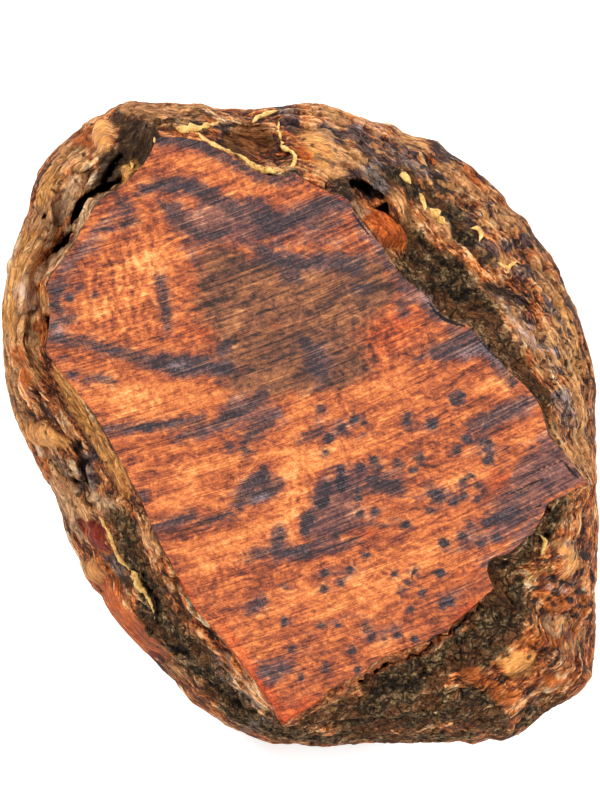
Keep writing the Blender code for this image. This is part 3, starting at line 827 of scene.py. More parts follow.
def radii_of(outline, directions):
    """How far an outline lies from the fan's middle in each direction."""
    away = seen_place(outline) - seen_place(FAN_MIDDLE)
    angles = np.arctan2(away[:, 1], away[:, 0])
    return np.interp(directions, angles, np.hypot(away[:, 0], away[:, 1]), period=math.tau)


def column_directions():
    """Directions of the columns, from +Y and on anticlockwise, evenly spaced along the outline."""
    fine = np.linspace(0, math.tau, OUTLINE_STEPS + 1) + math.pi / 2
    radii = radii_of(OUTLINE, fine)
    points = np.column_stack((radii * np.cos(fine), radii * np.sin(fine)))
    run = np.concatenate(([0.0], np.cumsum(np.hypot(*np.diff(points, axis=0).T))))
    return np.interp(np.arange(COLUMNS) * run[-1] / COLUMNS, run, fine)


def rim_heights(directions, steps):
    """The height of the rim at each step out from the face's edge (rows) in each direction."""
    degrees = sorted(RIM_HEIGHTS)
    wrapped = [degrees[-1] - 360, *degrees, degrees[0] + 360, degrees[1] + 360]
    turned = np.degrees(np.remainder(directions, math.tau))
    table = [[RIM_HEIGHTS[angle % 360][row] for angle in wrapped] for row in range(len(RIM_STEPS))]
    rows = np.array([smooth_curve(wrapped, heights, turned) for heights in table])
    bends = np.arcsin(RIM_STEPS)
    return np.array([smooth_curve(bends, profile, np.arcsin(steps)) for profile in rows.T]).T


def swell(directions, heights):
    """How far the lumps push the lower wall out."""
    push = np.zeros(len(directions))
    for degrees, middle, width, amount in LUMPS:
        turn = np.remainder(directions - math.radians(degrees) + math.pi, math.tau) - math.pi
        around = -2 * (np.degrees(turn) / width) ** 2
        push += amount * np.exp(around - ((heights - middle) / LUMP_TALLNESS) ** 2)
    return push


class Wall:
    """The bare wall before its relief: one row for each ring, one column for each direction."""

    def __init__(self):
        directions = column_directions()
        out = np.column_stack((np.cos(directions), np.sin(directions)))
        middle = seen_place(FAN_MIDDLE)
        inner = radii_of(FACE_EDGE, directions)
        outer = radii_of(OUTLINE, directions)
        steps = np.sin(np.linspace(0, math.pi / 2, RIM_RINGS + 1))
        heights = rim_heights(directions, steps)
        seen = middle + out * (inner + (outer - inner) * steps[:, None])[..., None]
        rim = np.concatenate((true_place(seen, heights), heights[..., None]), axis=-1)
        widest = rim[-1]
        rows = [rim]
        for share in np.linspace(1, 0, WALL_RINGS + 1)[1:]:
            level = widest[:, 2] * share
            tuck = UNDERSIDE_SHARE + (1 - UNDERSIDE_SHARE) * (1 - (1 - share) ** 2)
            plan = middle + (widest[:, :2] - middle) * tuck
            push = swell(directions, level) * min(1.0, LUMPS_AT_BASE + share)
            rows.append(np.column_stack((plan + out * push[:, None], level))[None])
        self.directions = directions
        self.places = np.concatenate(rows)
        seen = np.concatenate((seen, np.repeat(seen[-1:], WALL_RINGS, axis=0)))
        self.pixels = pixels_of(seen).reshape(-1, 2)
        gaps = np.linalg.norm(np.diff(self.places, axis=0), axis=-1)
        self.down = np.concatenate((np.zeros((1, COLUMNS)), np.cumsum(gaps, axis=0)))
        self.hidden = np.zeros_like(self.down)
        self.hidden[RIM_RINGS:] = np.linspace(0, 1, WALL_RINGS + 1)[:, None]
        self.flow = np.dstack((np.broadcast_to(widest[None, :, :2], seen.shape), self.down))

    def normals(self):
        """Outward normals of the bare wall."""
        along = np.roll(self.places, -1, axis=1) - np.roll(self.places, 1, axis=1)
        down = np.gradient(self.places, axis=0)
        normals = np.cross(down, along)
        return normals / np.linalg.norm(normals, axis=-1, keepdims=True)

    def paint_pixels(self):
        """The pixels whose finish each vertex takes.

        Below the outline the wall repeats the rim, turned and mirrored.
        """
        pixels = self.pixels.reshape(self.hidden.shape + (2,)).copy()
        for row in range(RIM_RINGS + 1, len(pixels)):
            share = self.hidden[row, 0]
            source = RIM_RINGS - round(MIRRORED_RIM * RIM_RINGS * share)
            pixels[row] = np.roll(pixels[source], round(MIRRORED_TURN * share), axis=0)
        places = self.places.reshape(-1, 3) / LOOSE_SIZE
        loose = shifted_noise(places, 3, ((0, 0, 0), (40, 7, 3)))
        return pixels.reshape(-1, 2) + LOOSE_REACH * loose


def wall_relief(wall, paint):
    """How far each wall vertex is pushed out, sunk and hollowed, and the pattern of its facets.

    A height in millimetres stands before each noise, and the noise's grains along the outline,
    along the outline and down the wall stand in its brackets, in millimetres too.
    """
    places = wall.places.reshape(-1, 3)
    flow = wall.flow.reshape(-1, 3)
    bark = fade(2.0, -5.0, chains_gap(paint, BARK))
    burnt_and_shaded = fade(2.0, -4.0, chains_gap(paint, CHARRED_AND_SHADED_WOOD))
    crumbly = np.maximum(bark, 0.9 * burnt_and_shaded)
    wild = zone_weight(paint, WILD_ZONES)
    wander = shifted_noise(places / 13.0, 2, ((0, 0, 0), (17, 3, 8), (5, 29, 11)))
    loose = (0.35 + 0.3 * wild)[:, None] * wander
    near, second, facet, facet_hue = cell_noise(flow / (22, 22, 7.0) + loose)
    groove = fade(0.16, 0.0, second - near)
    facets = 1.2 * (facet - 0.5) + 0.8 * (1 - near * near) - 0.9 * groove
    folds = 1.5 * grain_noise(flow / (34, 34, 13), 3)
    wrinkles = 0.7 * (1.0 - ridge_noise(flow / (22, 22, 6.0), 3))
    fibres = 0.4 * grain_noise(flow / (14, 14, 3.0), 2)
    near, second, chance, _ = cell_noise(flow / (13, 13, 3.6) + 0.2 * wander)
    slivers = 0.5 * (chance - 0.5) + 0.3 * (fade(0.0, 0.25, second - near) - 1)
    knots = 0.7 * grain_noise(places / 8.0, 3) * wild
    near, second, chance, _ = cell_noise(flow / (8, 8, 5) + 0.4 * wander)
    plates = 0.9 * (fade(0.0, 0.2, second - near) - 1) + 1.2 * (chance - 0.5)
    crumbs = plates + 0.8 * grain_noise(places / 3.6, 3) - 0.4
    pit_gap = cell_noise(places / 4.6 + (9, 5, 2))[0]
    pits = -1.0 * np.exp(-((pit_gap / 0.28) ** 2)) * fade(-0.1, 0.5, grain_noise(places / 24 + 5, 2))
    sound = facets + wrinkles + fibres + pits + slivers + knots
    push = folds + (1 - 0.8 * crumbly) * sound + crumbly * crumbs
    for middle, sizes, turn, height, steep in SWELLINGS:
        reach = oval_reach(wall.pixels, middle, sizes, turn)
        covered = fade(1.3, 0.9, reach)
        push = push * (1 - 0.75 * covered) + height * fade(1.15, steep, reach)
        groove = groove * (1 - covered)

    down = wall.down.reshape(-1)
    calm_edge = fade(0.0, 2.0, down)
    calm_outline = 1 - 0.6 * np.exp(-((places[:, 2] - WIDEST_LEVEL) / 12.0) ** 2)
    calm_base = fade(0.0, 7.0, places[:, 2])
    push *= calm_edge * calm_outline * calm_base

    lip = fade(2.0, -2.0, chain_gap(wall.pixels, TORN_LIP)) * fade(0.0, 0.8, down)
    push += lip * (1.5 * grain_noise(places / 2.4, 3) + 0.2)

    sink = np.zeros(len(push))
    torn = 1.1 * grain_noise(places / 2.6 + 2, 3)
    for depth, chain in CREVICES:
        sink = np.maximum(sink, depth * fade(1.0, -2.0, chain_gap(wall.pixels, chain) + torn))
    for hole, depth in HOLES:
        sink = np.maximum(sink, depth * fade(1.0, -2.0, chain_gap(wall.pixels, [hole])))
    ragged = wall.pixels + 0.6 * (paint - wall.pixels)
    bowl = HOLLOW_DEPTH * np.clip(1.06 - oval_reach(ragged, HOLLOW, HOLLOW_REACH, 0) ** 2, 0, 1)
    seen = (wall.hidden.reshape(-1) == 0) * fade(0.0, 1.2, down)
    pattern = {"facet": facet, "facet_hue": facet_hue, "groove": groove * (1 - crumbly)}
    return push, sink * seen, bowl * seen, pattern


def shape_wall(wall, paint):
    """The places of the wall's vertices with their relief, and the layers that tell the finish of it."""
    push, sink, bowl, pattern = wall_relief(wall, paint)
    places = wall.places.reshape(-1, 3) + push[:, None] * wall.normals().reshape(-1, 3)
    places[COLUMNS:, 2] = np.minimum(places[COLUMNS:, 2], HEIGHT - BELOW_FACE)
    places[-COLUMNS:, 2] = 0.0
    lowered = places[:, 2] - np.maximum(sink, bowl)
    places[:, :2] = spread(places[:, :2], shrinking(lowered) / shrinking(places[:, 2]))
    places[:, 2] = lowered
    pattern["relief"] = push - sink
    return places, pattern


def face_places(disk, directions):
    """Carries the grid across the round top ring over to the sawn face."""
    turn = np.remainder(np.arctan2(disk[:, 1], disk[:, 0]) - math.pi / 2, math.tau)
    column = turn / math.tau * COLUMNS
    around = np.append(directions, directions[0] + math.tau)
    bearing = np.interp(column, np.arange(COLUMNS + 1), around)
    out = np.column_stack((np.cos(bearing), np.sin(bearing)))
    radius = radii_of(FACE_EDGE, bearing) * np.hypot(disk[:, 0], disk[:, 1])
    plan = seen_place(FAN_MIDDLE) + out * radius[:, None]
    return np.column_stack((plan, np.full(len(plan), HEIGHT)))


def numbers_of(items, name, width=1):
    """One row of numbers for each vertex, edge, face or corner of a mesh."""
    kind = float if name == "co" else int
    rows = np.empty(len(items) * width, kind)
    items.foreach_get(name, rows)
    return rows.reshape(-1, width) if width > 1 else rows


def turn_faces_outward():
    """Points every face of the active object outward."""
    bpy.ops.object.mode_set(mode="EDIT")
    bpy.ops.mesh.select_all(action="SELECT")
    bpy.ops.mesh.normals_make_consistent(inside=False)
    bpy.ops.object.mode_set(mode="OBJECT")


def ring_mesh():
    """A tube of rings, closed by a grid across the top ring and by one face across the bottom ring."""
    bpy.ops.object.select_all(action="DESELECT")
    bpy.ops.mesh.primitive_circle_add(vertices=COLUMNS, radius=1.0, fill_type="NOTHING")
    lump = bpy.context.object
    bpy.ops.object.mode_set(mode="EDIT")
    bpy.ops.mesh.select_all(action="SELECT")
    bpy.ops.mesh.select_mode(type="EDGE")
    for _ in range(RIM_RINGS + WALL_RINGS):
        bpy.ops.mesh.extrude_edges_move(TRANSFORM_OT_translate={"value": (0, 0, -1.0)})
    bpy.ops.mesh.edge_face_add()
    bpy.ops.object.mode_set(mode="OBJECT")
    mesh = lump.data
    top = numbers_of(mesh.vertices, "co", 3)[:, 2] > -0.5
    ends = numbers_of(mesh.edges, "vertices", 2)
    mesh.vertices.foreach_set("select", top.tolist())
    mesh.edges.foreach_set("select", top[ends].all(axis=1).tolist())
    mesh.polygons.foreach_set("select", [False] * len(mesh.polygons))
    bpy.ops.object.mode_set(mode="EDIT")
    bpy.ops.mesh.fill_grid(span=FACE_SPAN)
    bpy.ops.object.mode_set(mode="OBJECT")
    turn_faces_outward()
    return lump


def add_layer(mesh, name, values):
    """Stores one number, or one vector, for each vertex under a name that the materials read."""
    kind, field = ("FLOAT", "value") if values.ndim == 1 else ("FLOAT_VECTOR", "vector")
    layer = mesh.attributes.new(name, kind, "POINT")
    layer.data.foreach_set(field, np.ascontiguousarray(values, np.float32).ravel())


def paint_layers(mesh, wall, paint, pattern, face):
    """The figure, as gaps in pixels to each mark and as strengths of soft zones."""
    on_face = pixels_of(face[:, :2])
    everywhere = np.concatenate((paint, on_face))
    exact = np.concatenate((wall.pixels, on_face))
    seen = np.concatenate((wall.hidden.reshape(-1) == 0, np.full(len(face), True)))
    chains = {
        "straw": STRAW_WOOD,
        "amber": AMBER_WOOD,
        "ruddy": RUDDY_WOOD,
        "slate": SLATE_WOOD,
        "bark": BARK,
        "charred_and_shaded": CHARRED_AND_SHADED_WOOD,
        "sheen": PAINTED_GREY_SHEEN,
    }
    for name, marks in chains.items():
        add_layer(mesh, name, chains_gap(everywhere, marks))
    exact_chains = {
        "glow": GLOWING_EDGES,
        "streaks": FACE_STREAKS,
        "splits": FACE_SPLITS,
        "eyes": [[eye] for eye in FACE_EYES],
        "wall_eyes": [[eye] for eye in WALL_EYES],
        "garnet": GARNET_WOOD,
        "ochre": OCHRE_WOOD,
        "torn": [TORN_LIP],
    }
    for name, marks in exact_chains.items():
        add_layer(mesh, name, np.where(seen, chains_gap(exact, marks), WIDEST_GAP))
    soft = {
        "golden": GOLDEN_ZONES,
        "flamed": FLAMED_ZONES,
        "dull": DULL_ZONES,
        "dusk": DUSK_ZONES,
        "ember": EMBER_ZONES,
        "painted_face_sheen": PAINTED_SHEEN_ZONES,
    }
    for name, zones in soft.items():
        add_layer(mesh, name, zone_weight(exact, zones))
    add_layer(mesh, "wild", zone_weight(everywhere, WILD_ZONES))
    reaches = np.array([oval_reach(exact, *swelling[:3]) for swelling in SWELLINGS])
    add_layer(mesh, "polished", np.where(seen, fade(1.2, 0.9, reaches.min(axis=0)), 0.0))
    ringed = oval_reach(exact, *RINGED_SWELLING)
    add_layer(mesh, "ringed", np.where(seen, fade(1.1, 0.8, ringed), 0.0))
    add_layer(mesh, "swirl", YEAR_LINES * math.tau * np.minimum(ringed, 2.0))
    cup = oval_reach(everywhere, HOLLOW, HOLLOW_REACH, 0)
    add_layer(mesh, "hollow", np.where(seen, fade(1.05, 0.5, cup), 0.0))
    none = np.zeros(len(face))
    for name, values in pattern.items():
        add_layer(mesh, name, np.concatenate((values, none)))
    add_layer(mesh, "below_edge", np.concatenate((wall.down.reshape(-1), none)))
    flow = np.concatenate((wall.flow.reshape(-1, 3), face))
    add_layer(mesh, "flow", flow * MM)


def unfold(mesh, wall, places):
    """The piece's UV map: the view from above, two strips of wall and the underside."""
    wall_count = len(wall.pixels)
    split = RIM_RINGS - RINGS_IN_STRIP
    low, high = places[:, :2].min(axis=0), places[:, :2].max(axis=0)
    from_above = (places[:, :2] - low) / (high - low).max() * PLAN_SIZE
    around = np.arange(COLUMNS + 1) / (COLUMNS / 2)
    depth = wall.down - wall.down[split]
    depth = depth / depth[-1].max() * STRIP_DEPTH
    spots = np.empty((len(mesh.loops), 2))
    for polygon in mesh.polygons:
        corners = list(polygon.vertices)
        first = polygon.loop_start
        after = first + len(corners)
        if len(corners) > 4:
            spots[first:after] = from_above[corners] * UNDERSIDE_SIZE + UNDERSIDE_CORNER
            continue
        if min(corners) < split * COLUMNS or max(corners) >= wall_count:
            spots[first:after] = from_above[corners] + PLAN_CORNER
            continue
        columns = [corner % COLUMNS for corner in corners]
        if max(columns) - min(columns) > 1:
            columns = [COLUMNS if column == 0 else column for column in columns]
        strip = 1 if min(columns) >= COLUMNS // 2 else 0
        for place, (corner, column) in enumerate(zip(corners, columns)):
            below = depth[corner // COLUMNS, corner % COLUMNS]
            spots[first + place] = (
                STRIP_CORNER[0] + STRIP_LENGTH * (around[column] - strip),
                STRIP_CORNER[1] + STRIP_RISE * strip + below,
            )
    layer = mesh.uv_layers.new(name="OFBake")
    layer.data.foreach_set("uv", spots.ravel())


def colour(red, green, blue):
    """A screen colour of 0 to 255 as the light that Blender mixes."""
    light = []
    for part in (red, green, blue):
        part = part / 255
        light.append(part / 12.92 if part < 0.04045 else ((part + 0.055) / 1.055) ** 2.4)
    return (*light, 1.0)


class Finish:
    """The node tree of one material, built node by node."""

    def __init__(self, name):
        self.material = bpy.data.materials.new(name)
        self.material.use_nodes = True
        self.tree = self.material.node_tree
        self.shader = self.tree.nodes["Principled BSDF"]

    def join(self, value, socket):
        """Links a value to a socket where it comes from a node, and else sets it there."""
        if isinstance(value, bpy.types.NodeSocket):
            self.tree.links.new(value, socket)
        else:
            socket.default_value = value

    def node(self, kind, inputs=None, **settings):
        """A new node with its settings, and with each named or numbered input set or linked."""
        made = self.tree.nodes.new(kind)
        for name, value in settings.items():
            setattr(made, name, value)
        for socket, value in (inputs or {}).items():
            self.join(value, made.inputs[socket])
        return made

    def math(self, operation, first, second=0.0, third=0.0):
        """One operation on one, two or three numbers."""
        inputs = {0: first, 1: second, 2: third}
        return self.node("ShaderNodeMath", inputs, operation=operation).outputs[0]

    def vector_math(self, operation, first, second=(0.0, 0.0, 0.0)):
        """One operation on one or two vectors. Its outputs are a vector and a value."""
        return self.node("ShaderNodeVectorMath", {0: first, 1: second}, operation=operation).outputs

    def times(self, *parts):
        """All the parts multiplied."""
        total = parts[0]
        for part in parts[1:]:
            total = self.math("MULTIPLY", total, part)
        return total

    def scaled(self, value, factor, offset):
        """A value times a factor, plus an offset."""
        return self.math("MULTIPLY_ADD", value, factor, offset)

    def sway(self, tone, *moves):
        """A tone moved up and down by noise values about their middles, each by its own amount."""
        for value, amount in moves:
            tone = self.scaled(self.math("SUBTRACT", value, 0.5), amount, tone)
        return tone

    def most(self, *values):
        """The highest of several values."""
        highest = values[0]
        for value in values[1:]:
            highest = self.math("MAXIMUM", highest, value)
        return highest

    def layer(self, name, output="Fac"):
        """The numbers stored under a name on the mesh."""
        return self.node("ShaderNodeAttribute", attribute_name=name).outputs[output]

    def object_place(self):
        """Object coordinates, in metres."""
        return self.node("ShaderNodeTexCoord").outputs["Object"]

    def stretch(self, place, scale):
        """A place divided by a grain size in millimetres along each axis."""
        factors = [1 / (MM * size) for size in scale]
        return self.node("ShaderNodeMapping", {"Vector": place, "Scale": factors}).outputs[0]

    def soft_grain(self, place, sizes, detail, rough=0.5, warp=0.0):
        """Blender's noise with grains of these sizes in millimetres, as a value and as a colour."""
        inputs = {
            "Vector": self.stretch(place, sizes),
            "Scale": 1.0,
            "Detail": detail,
            "Roughness": rough,
            "Distortion": warp,
        }
        return self.node("ShaderNodeTexNoise", inputs).outputs

    def grain(self, place, sizes, detail=4.0, rough=0.55, warp=0.0, contrast=2.4):
        """Noise with grains of these sizes, its contrast raised about the middle."""
        soft = self.soft_grain(place, sizes, detail, rough, warp)[0]
        return self.scaled(soft, contrast, 0.5 - 0.5 * contrast)

    def shaken(self, place, size, amount):
        """A place moved by noise, up to an amount in millimetres, so that patterns there wander."""
        loose = self.soft_grain(place, (size, size, size), 1.0)[1]
        reach = (2 * amount * MM,) * 3
        return self.vector_math("ADD", place, self.vector_math("MULTIPLY", loose, reach)[0])[0]

    def cells(self, place, sizes, feature="F1", output="Distance"):
        """A pattern of scattered cells of these sizes in millimetres."""
        inputs = {"Vector": self.stretch(place, sizes), "Scale": 1.0}
        return self.node("ShaderNodeTexVoronoi", inputs, feature=feature).outputs[output]

    def chips(self, place, sizes):
        """A chance number for each of many scattered cells of these sizes in millimetres."""
        tint = self.cells(place, sizes, output="Color")
        return self.node("ShaderNodeSeparateColor", {0: tint}).outputs[0]

    def ridges(self, place, sizes, warp):
        """Rounded ridges of these sizes in millimetres, with sharp creases between: 0 in a crease."""
        wave = self.soft_grain(place, sizes, 2.0, 0.5, warp)[0]
        off = self.math("ABSOLUTE", self.scaled(wave, 6.0, -3.0))
        return self.math("POWER", self.math("MINIMUM", off, 1.0), 0.6)

    def waves(self, place, period, turn, warp):
        """Wandering stripes of this period in millimetres, upright before their turn in degrees."""
        inputs = {
            "Vector": place,
            "Rotation": (0.0, 0.0, math.radians(turn)),
            "Scale": (1 / (MM * period),) * 3,
        }
        turned = self.node("ShaderNodeMapping", inputs).outputs[0]
        inputs = {
            "Vector": turned,
            "Scale": math.tau / 20,
            "Distortion": warp,
            "Detail": 3.0,
            "Detail Scale": 1.6,
            "Detail Roughness": 0.55,
        }
        return self.node("ShaderNodeTexWave", inputs).outputs["Fac"]

    def between(self, value, low, high, to_low=0.0, to_high=1.0):
        """A value carried smoothly from one range to another, held at both ends."""
        inputs = {0: value, 1: low, 2: high, 3: to_low, 4: to_high}
        return self.node("ShaderNodeMapRange", inputs, interpolation_type="SMOOTHSTEP").outputs[0]

    def seam(self, value, width):
        """1 along the lines where a noise value crosses its middle, which wander like cracks."""
        off = self.math("ABSOLUTE", self.math("SUBTRACT", value, 0.5))
        return self.between(off, width, 0.0)

    def mark(self, gap, noise_value, ragged, soft, grown=0.0):
        """1 inside a mark and 0 outside it, by its gap in pixels, with an edge made ragged by noise."""
        if grown:
            gap = self.math("SUBTRACT", gap, grown)
        return self.between(self.sway(gap, (noise_value, ragged)), soft, -soft)

    def mix(self, share, first, second, blend="MIX"):
        """Two colours in shares."""
        inputs = {0: share, 6: first, 7: second}
        return self.node("ShaderNodeMix", inputs, data_type="RGBA", blend_type=blend).outputs[2]

    def blend(self, share, first, second):
        """Two numbers in shares."""
        return self.node("ShaderNodeMix", {0: share, 2: first, 3: second}).outputs[0]

    def cover(self, base, tint, *shares):
        """A colour with another laid over it where all the shares are high."""
        return self.mix(self.times(*shares), base, tint)

    def stain(self, base, factors, *shares):
        """A colour multiplied by three factors where all the shares are high."""
        return self.mix(self.times(*shares), base, (*factors, 1.0), "MULTIPLY")

    def ramp(self, value, stops):
        """Colours at stops along a value, as rows of a place and a screen colour."""
        node = self.node("ShaderNodeValToRGB", {0: value})
        points = node.color_ramp.elements
        while len(points) < len(stops):
            points.new(0.5)
        for point, (place, *tint) in zip(points, stops):
            point.position = place
            point.color = colour(*tint)
        return node.outputs[0]

    def bump(self, height, distance, strength=1.0, under=None):
        """A normal that follows a height, over another normal where one is given."""
        inputs = {"Strength": strength, "Distance": distance * MM, "Height": height}
        if under is not None:
            inputs["Normal"] = under
        return self.node("ShaderNodeBump", inputs).outputs[0]

    def done(self, base, rough, normal, gloss=0.5):
        """Sets the shader's colour, roughness, normal and gloss, and gives the material."""
        self.join(base, self.shader.inputs["Base Color"])
        self.join(rough, self.shader.inputs["Roughness"])
        self.join(normal, self.shader.inputs["Normal"])
        self.shader.inputs["Specular IOR Level"].default_value = gloss
        return self.material


def sawn_face_wood():
    """The waxed face across the burl: flame-coloured wood, dark eyes and streaks, and saw marks."""
    wood = Finish("sawn_face")
    place = wood.object_place()
    pivot = (SAW_PIVOT[0] * MM, SAW_PIVOT[1] * MM, HEIGHT * MM)
    arm = wood.vector_math("SUBTRACT", place, pivot)[0]
    parts = wood.node("ShaderNodeSeparateXYZ", {0: arm}).outputs
    reach = wood.vector_math("LENGTH", arm)["Value"]
    swing = wood.math("ARCTAN2", parts[0], wood.times(parts[1], -1.0))
    along = wood.times(swing, SAW_REACH * MM)
    sawn = wood.node("ShaderNodeCombineXYZ", {0: along, 1: reach, 2: 0.0}).outputs[0]

    smear = wood.grain(sawn, (6.0, 1.6, 1.0), 5.0, 0.65, 0.0, 3.0)
    smoke = wood.grain(sawn, (10.0, 4.5, 3.0), 5.0, 0.62, 1.0, 3.0)
    wisps = wood.grain(wood.shaken(sawn, 14.0, 2.5), (15.0, 3.4, 3.0), 4.0, 0.6, 0.8, 3.4)
    broad = wood.grain(place, (24.0, 15.0, 10.0), 3.0, 0.5, 1.2, 3.0)
    curl = wood.grain(place, (7.5, 5.0, 5.0), 5.0, 0.6, 2.4, 3.0)
    mottle = wood.grain(wood.shaken(place, 8.0, 2.0), (3.0, 2.4, 3.0), 4.0, 0.6, 0.8, 3.2)
    pores = wood.grain(place, (0.8, 0.8, 0.8), 3.0, 0.75, 0.0, 3.2)
    saw_lines = wood.grain(sawn, (70.0, 1.2, 1.0), 2.0, 0.8, 0.0, 3.2)
    fine_lines = wood.grain(sawn, (24.0, 0.5, 1.0), 2.0, 0.6, 0.0, 3.2)
    scratches = wood.grain(wood.shaken(sawn, 22.0, 9.0), (1.3, 20.0, 1.0), 2.0, 0.6, 0.3, 3.2)
    flames = wood.grain(wood.shaken(place, 9.0, 4.5), (3.2, 15.0, 9.0), 3.0, 0.55, 0.8, 3.0)
    stripes = wood.waves(place, 4.2, -14.0, 8.0)
    rings = wood.waves(place, 1.7, 55.0, 22.0)

    golden = wood.layer("golden")
    flamed = wood.layer("flamed")
    dull = wood.between(wood.sway(wood.layer("dull"), (smoke, 0.5)), 0.25, 0.85)
    dusk = wood.between(wood.sway(wood.layer("dusk"), (smoke, 0.7)), 0.25, 0.85)
    worn = wood.most(dull, dusk)
    tone = wood.sway(
        wood.scaled(worn, -0.03, wood.scaled(golden, 0.34, 0.415)),
        (broad, 0.16),
        (wisps, wood.scaled(golden, -0.10, 0.32)),
        (curl, 0.30),
        (mottle, 0.18),
        (saw_lines, wood.scaled(dusk, 0.18, wood.scaled(worn, 0.16, 0.14))),
        (fine_lines, wood.scaled(golden, -0.06, 0.20)),
        (scratches, 0.05),
        (pores, 0.20),
        (flames, wood.times(flamed, 0.26)),
        (stripes, wood.times(flamed, 0.20)),
        (rings, wood.scaled(golden, 0.08, 0.05)),
    )
    fire = wood.ramp(tone, [
        (0.0, 48, 26, 24),
        (0.2, 100, 48, 34),
        (0.4, 154, 76, 43),
        (0.6, 200, 108, 56),
        (0.8, 226, 142, 77),
        (1.0, 240, 178, 108),
    ])
    olive = wood.ramp(tone, [
        (0.0, 30, 25, 24),
        (0.25, 72, 50, 40),
        (0.5, 118, 77, 53),
        (0.75, 162, 106, 68),
        (1.0, 204, 152, 106),
    ])
    violet = wood.ramp(tone, [
        (0.0, 38, 32, 37),
        (0.25, 72, 52, 54),
        (0.5, 112, 76, 70),
        (0.75, 156, 105, 86),
        (1.0, 208, 158, 128),
    ])
    base = wood.cover(fire, olive, dull, 0.85)
    warmth = wood.times(wood.layer("ember"), wood.math("ADD", smear, 0.5))
    base = wood.stain(base, (1.18, 0.66, 0.46), wood.between(warmth, 0.15, 0.9), 0.65)
    base = wood.cover(base, violet, dusk, 0.85)

    ragged = wood.blend(0.4, smear, curl)
    streaks = wood.layer("streaks")
    halo = wood.mark(streaks, ragged, 12.0, 7.0, grown=3.5)
    core = wood.mark(streaks, ragged, 8.0, 3.5, grown=1.8)
    eyes = wood.layer("eyes")
    eye_halo = wood.mark(eyes, curl, 6.0, 4.5, grown=1.5)
    eye_core = wood.mark(eyes, ragged, 5.0, 1.8, grown=0.4)
    shade = wood.mix(0.5, violet, (0.030, 0.022, 0.028, 1.0))
    base = wood.cover(base, shade, wood.most(halo, eye_halo), 0.66)
    ink = wood.ramp(wood.blend(0.5, fine_lines, pores), [
        (0.2, 22, 19, 22),
        (0.55, 44, 39, 44),
        (0.95, 112, 98, 102),
    ])
    gaps = wood.between(wood.scaled(pores, 0.4, saw_lines), 0.4, 1.1, 0.88, 0.35)
    base = wood.cover(base, ink, core, gaps)
    depth = wood.between(wood.chips(place, (5.5, 5.5, 5.5)), 0.0, 0.6, 0.55, 0.95)
    base = wood.cover(base, ink, eye_core, depth)

    # Painted sheen: a grey reflection of the lights off the waxed face, streaked along the saw lines and
    # painted into the colour
    sheen_streaks = wood.scaled(saw_lines, 0.6, wood.times(pores, 0.8))
    painted_face_sheen = wood.between(wood.times(wood.layer("painted_face_sheen"), sheen_streaks), 0.1, 1.2, 0.0, 0.6)
    base = wood.cover(base, colour(168, 146, 146), painted_face_sheen)
    glow = wood.mark(wood.layer("glow"), ragged, 4.0, 1.5)
    base = wood.cover(base, wood.mix(pores, colour(120, 34, 10), colour(220, 84, 20)), glow, 0.75)
    splits = wood.mark(wood.layer("splits"), pores, 1.2, 0.7, grown=0.6)
    base = wood.cover(base, colour(14, 11, 12), splits)

    marks = wood.bump(saw_lines, 0.35, 0.8)
    marks = wood.bump(fine_lines, 0.15, 0.7, marks)
    marks = wood.bump(scratches, 0.12, 0.6, marks)
    marks = wood.bump(pores, 0.2, 0.8, marks)
    return wood.done(base, wood.between(saw_lines, 0.2, 0.8, 0.36, 0.54), marks, FACE_GLOSS)


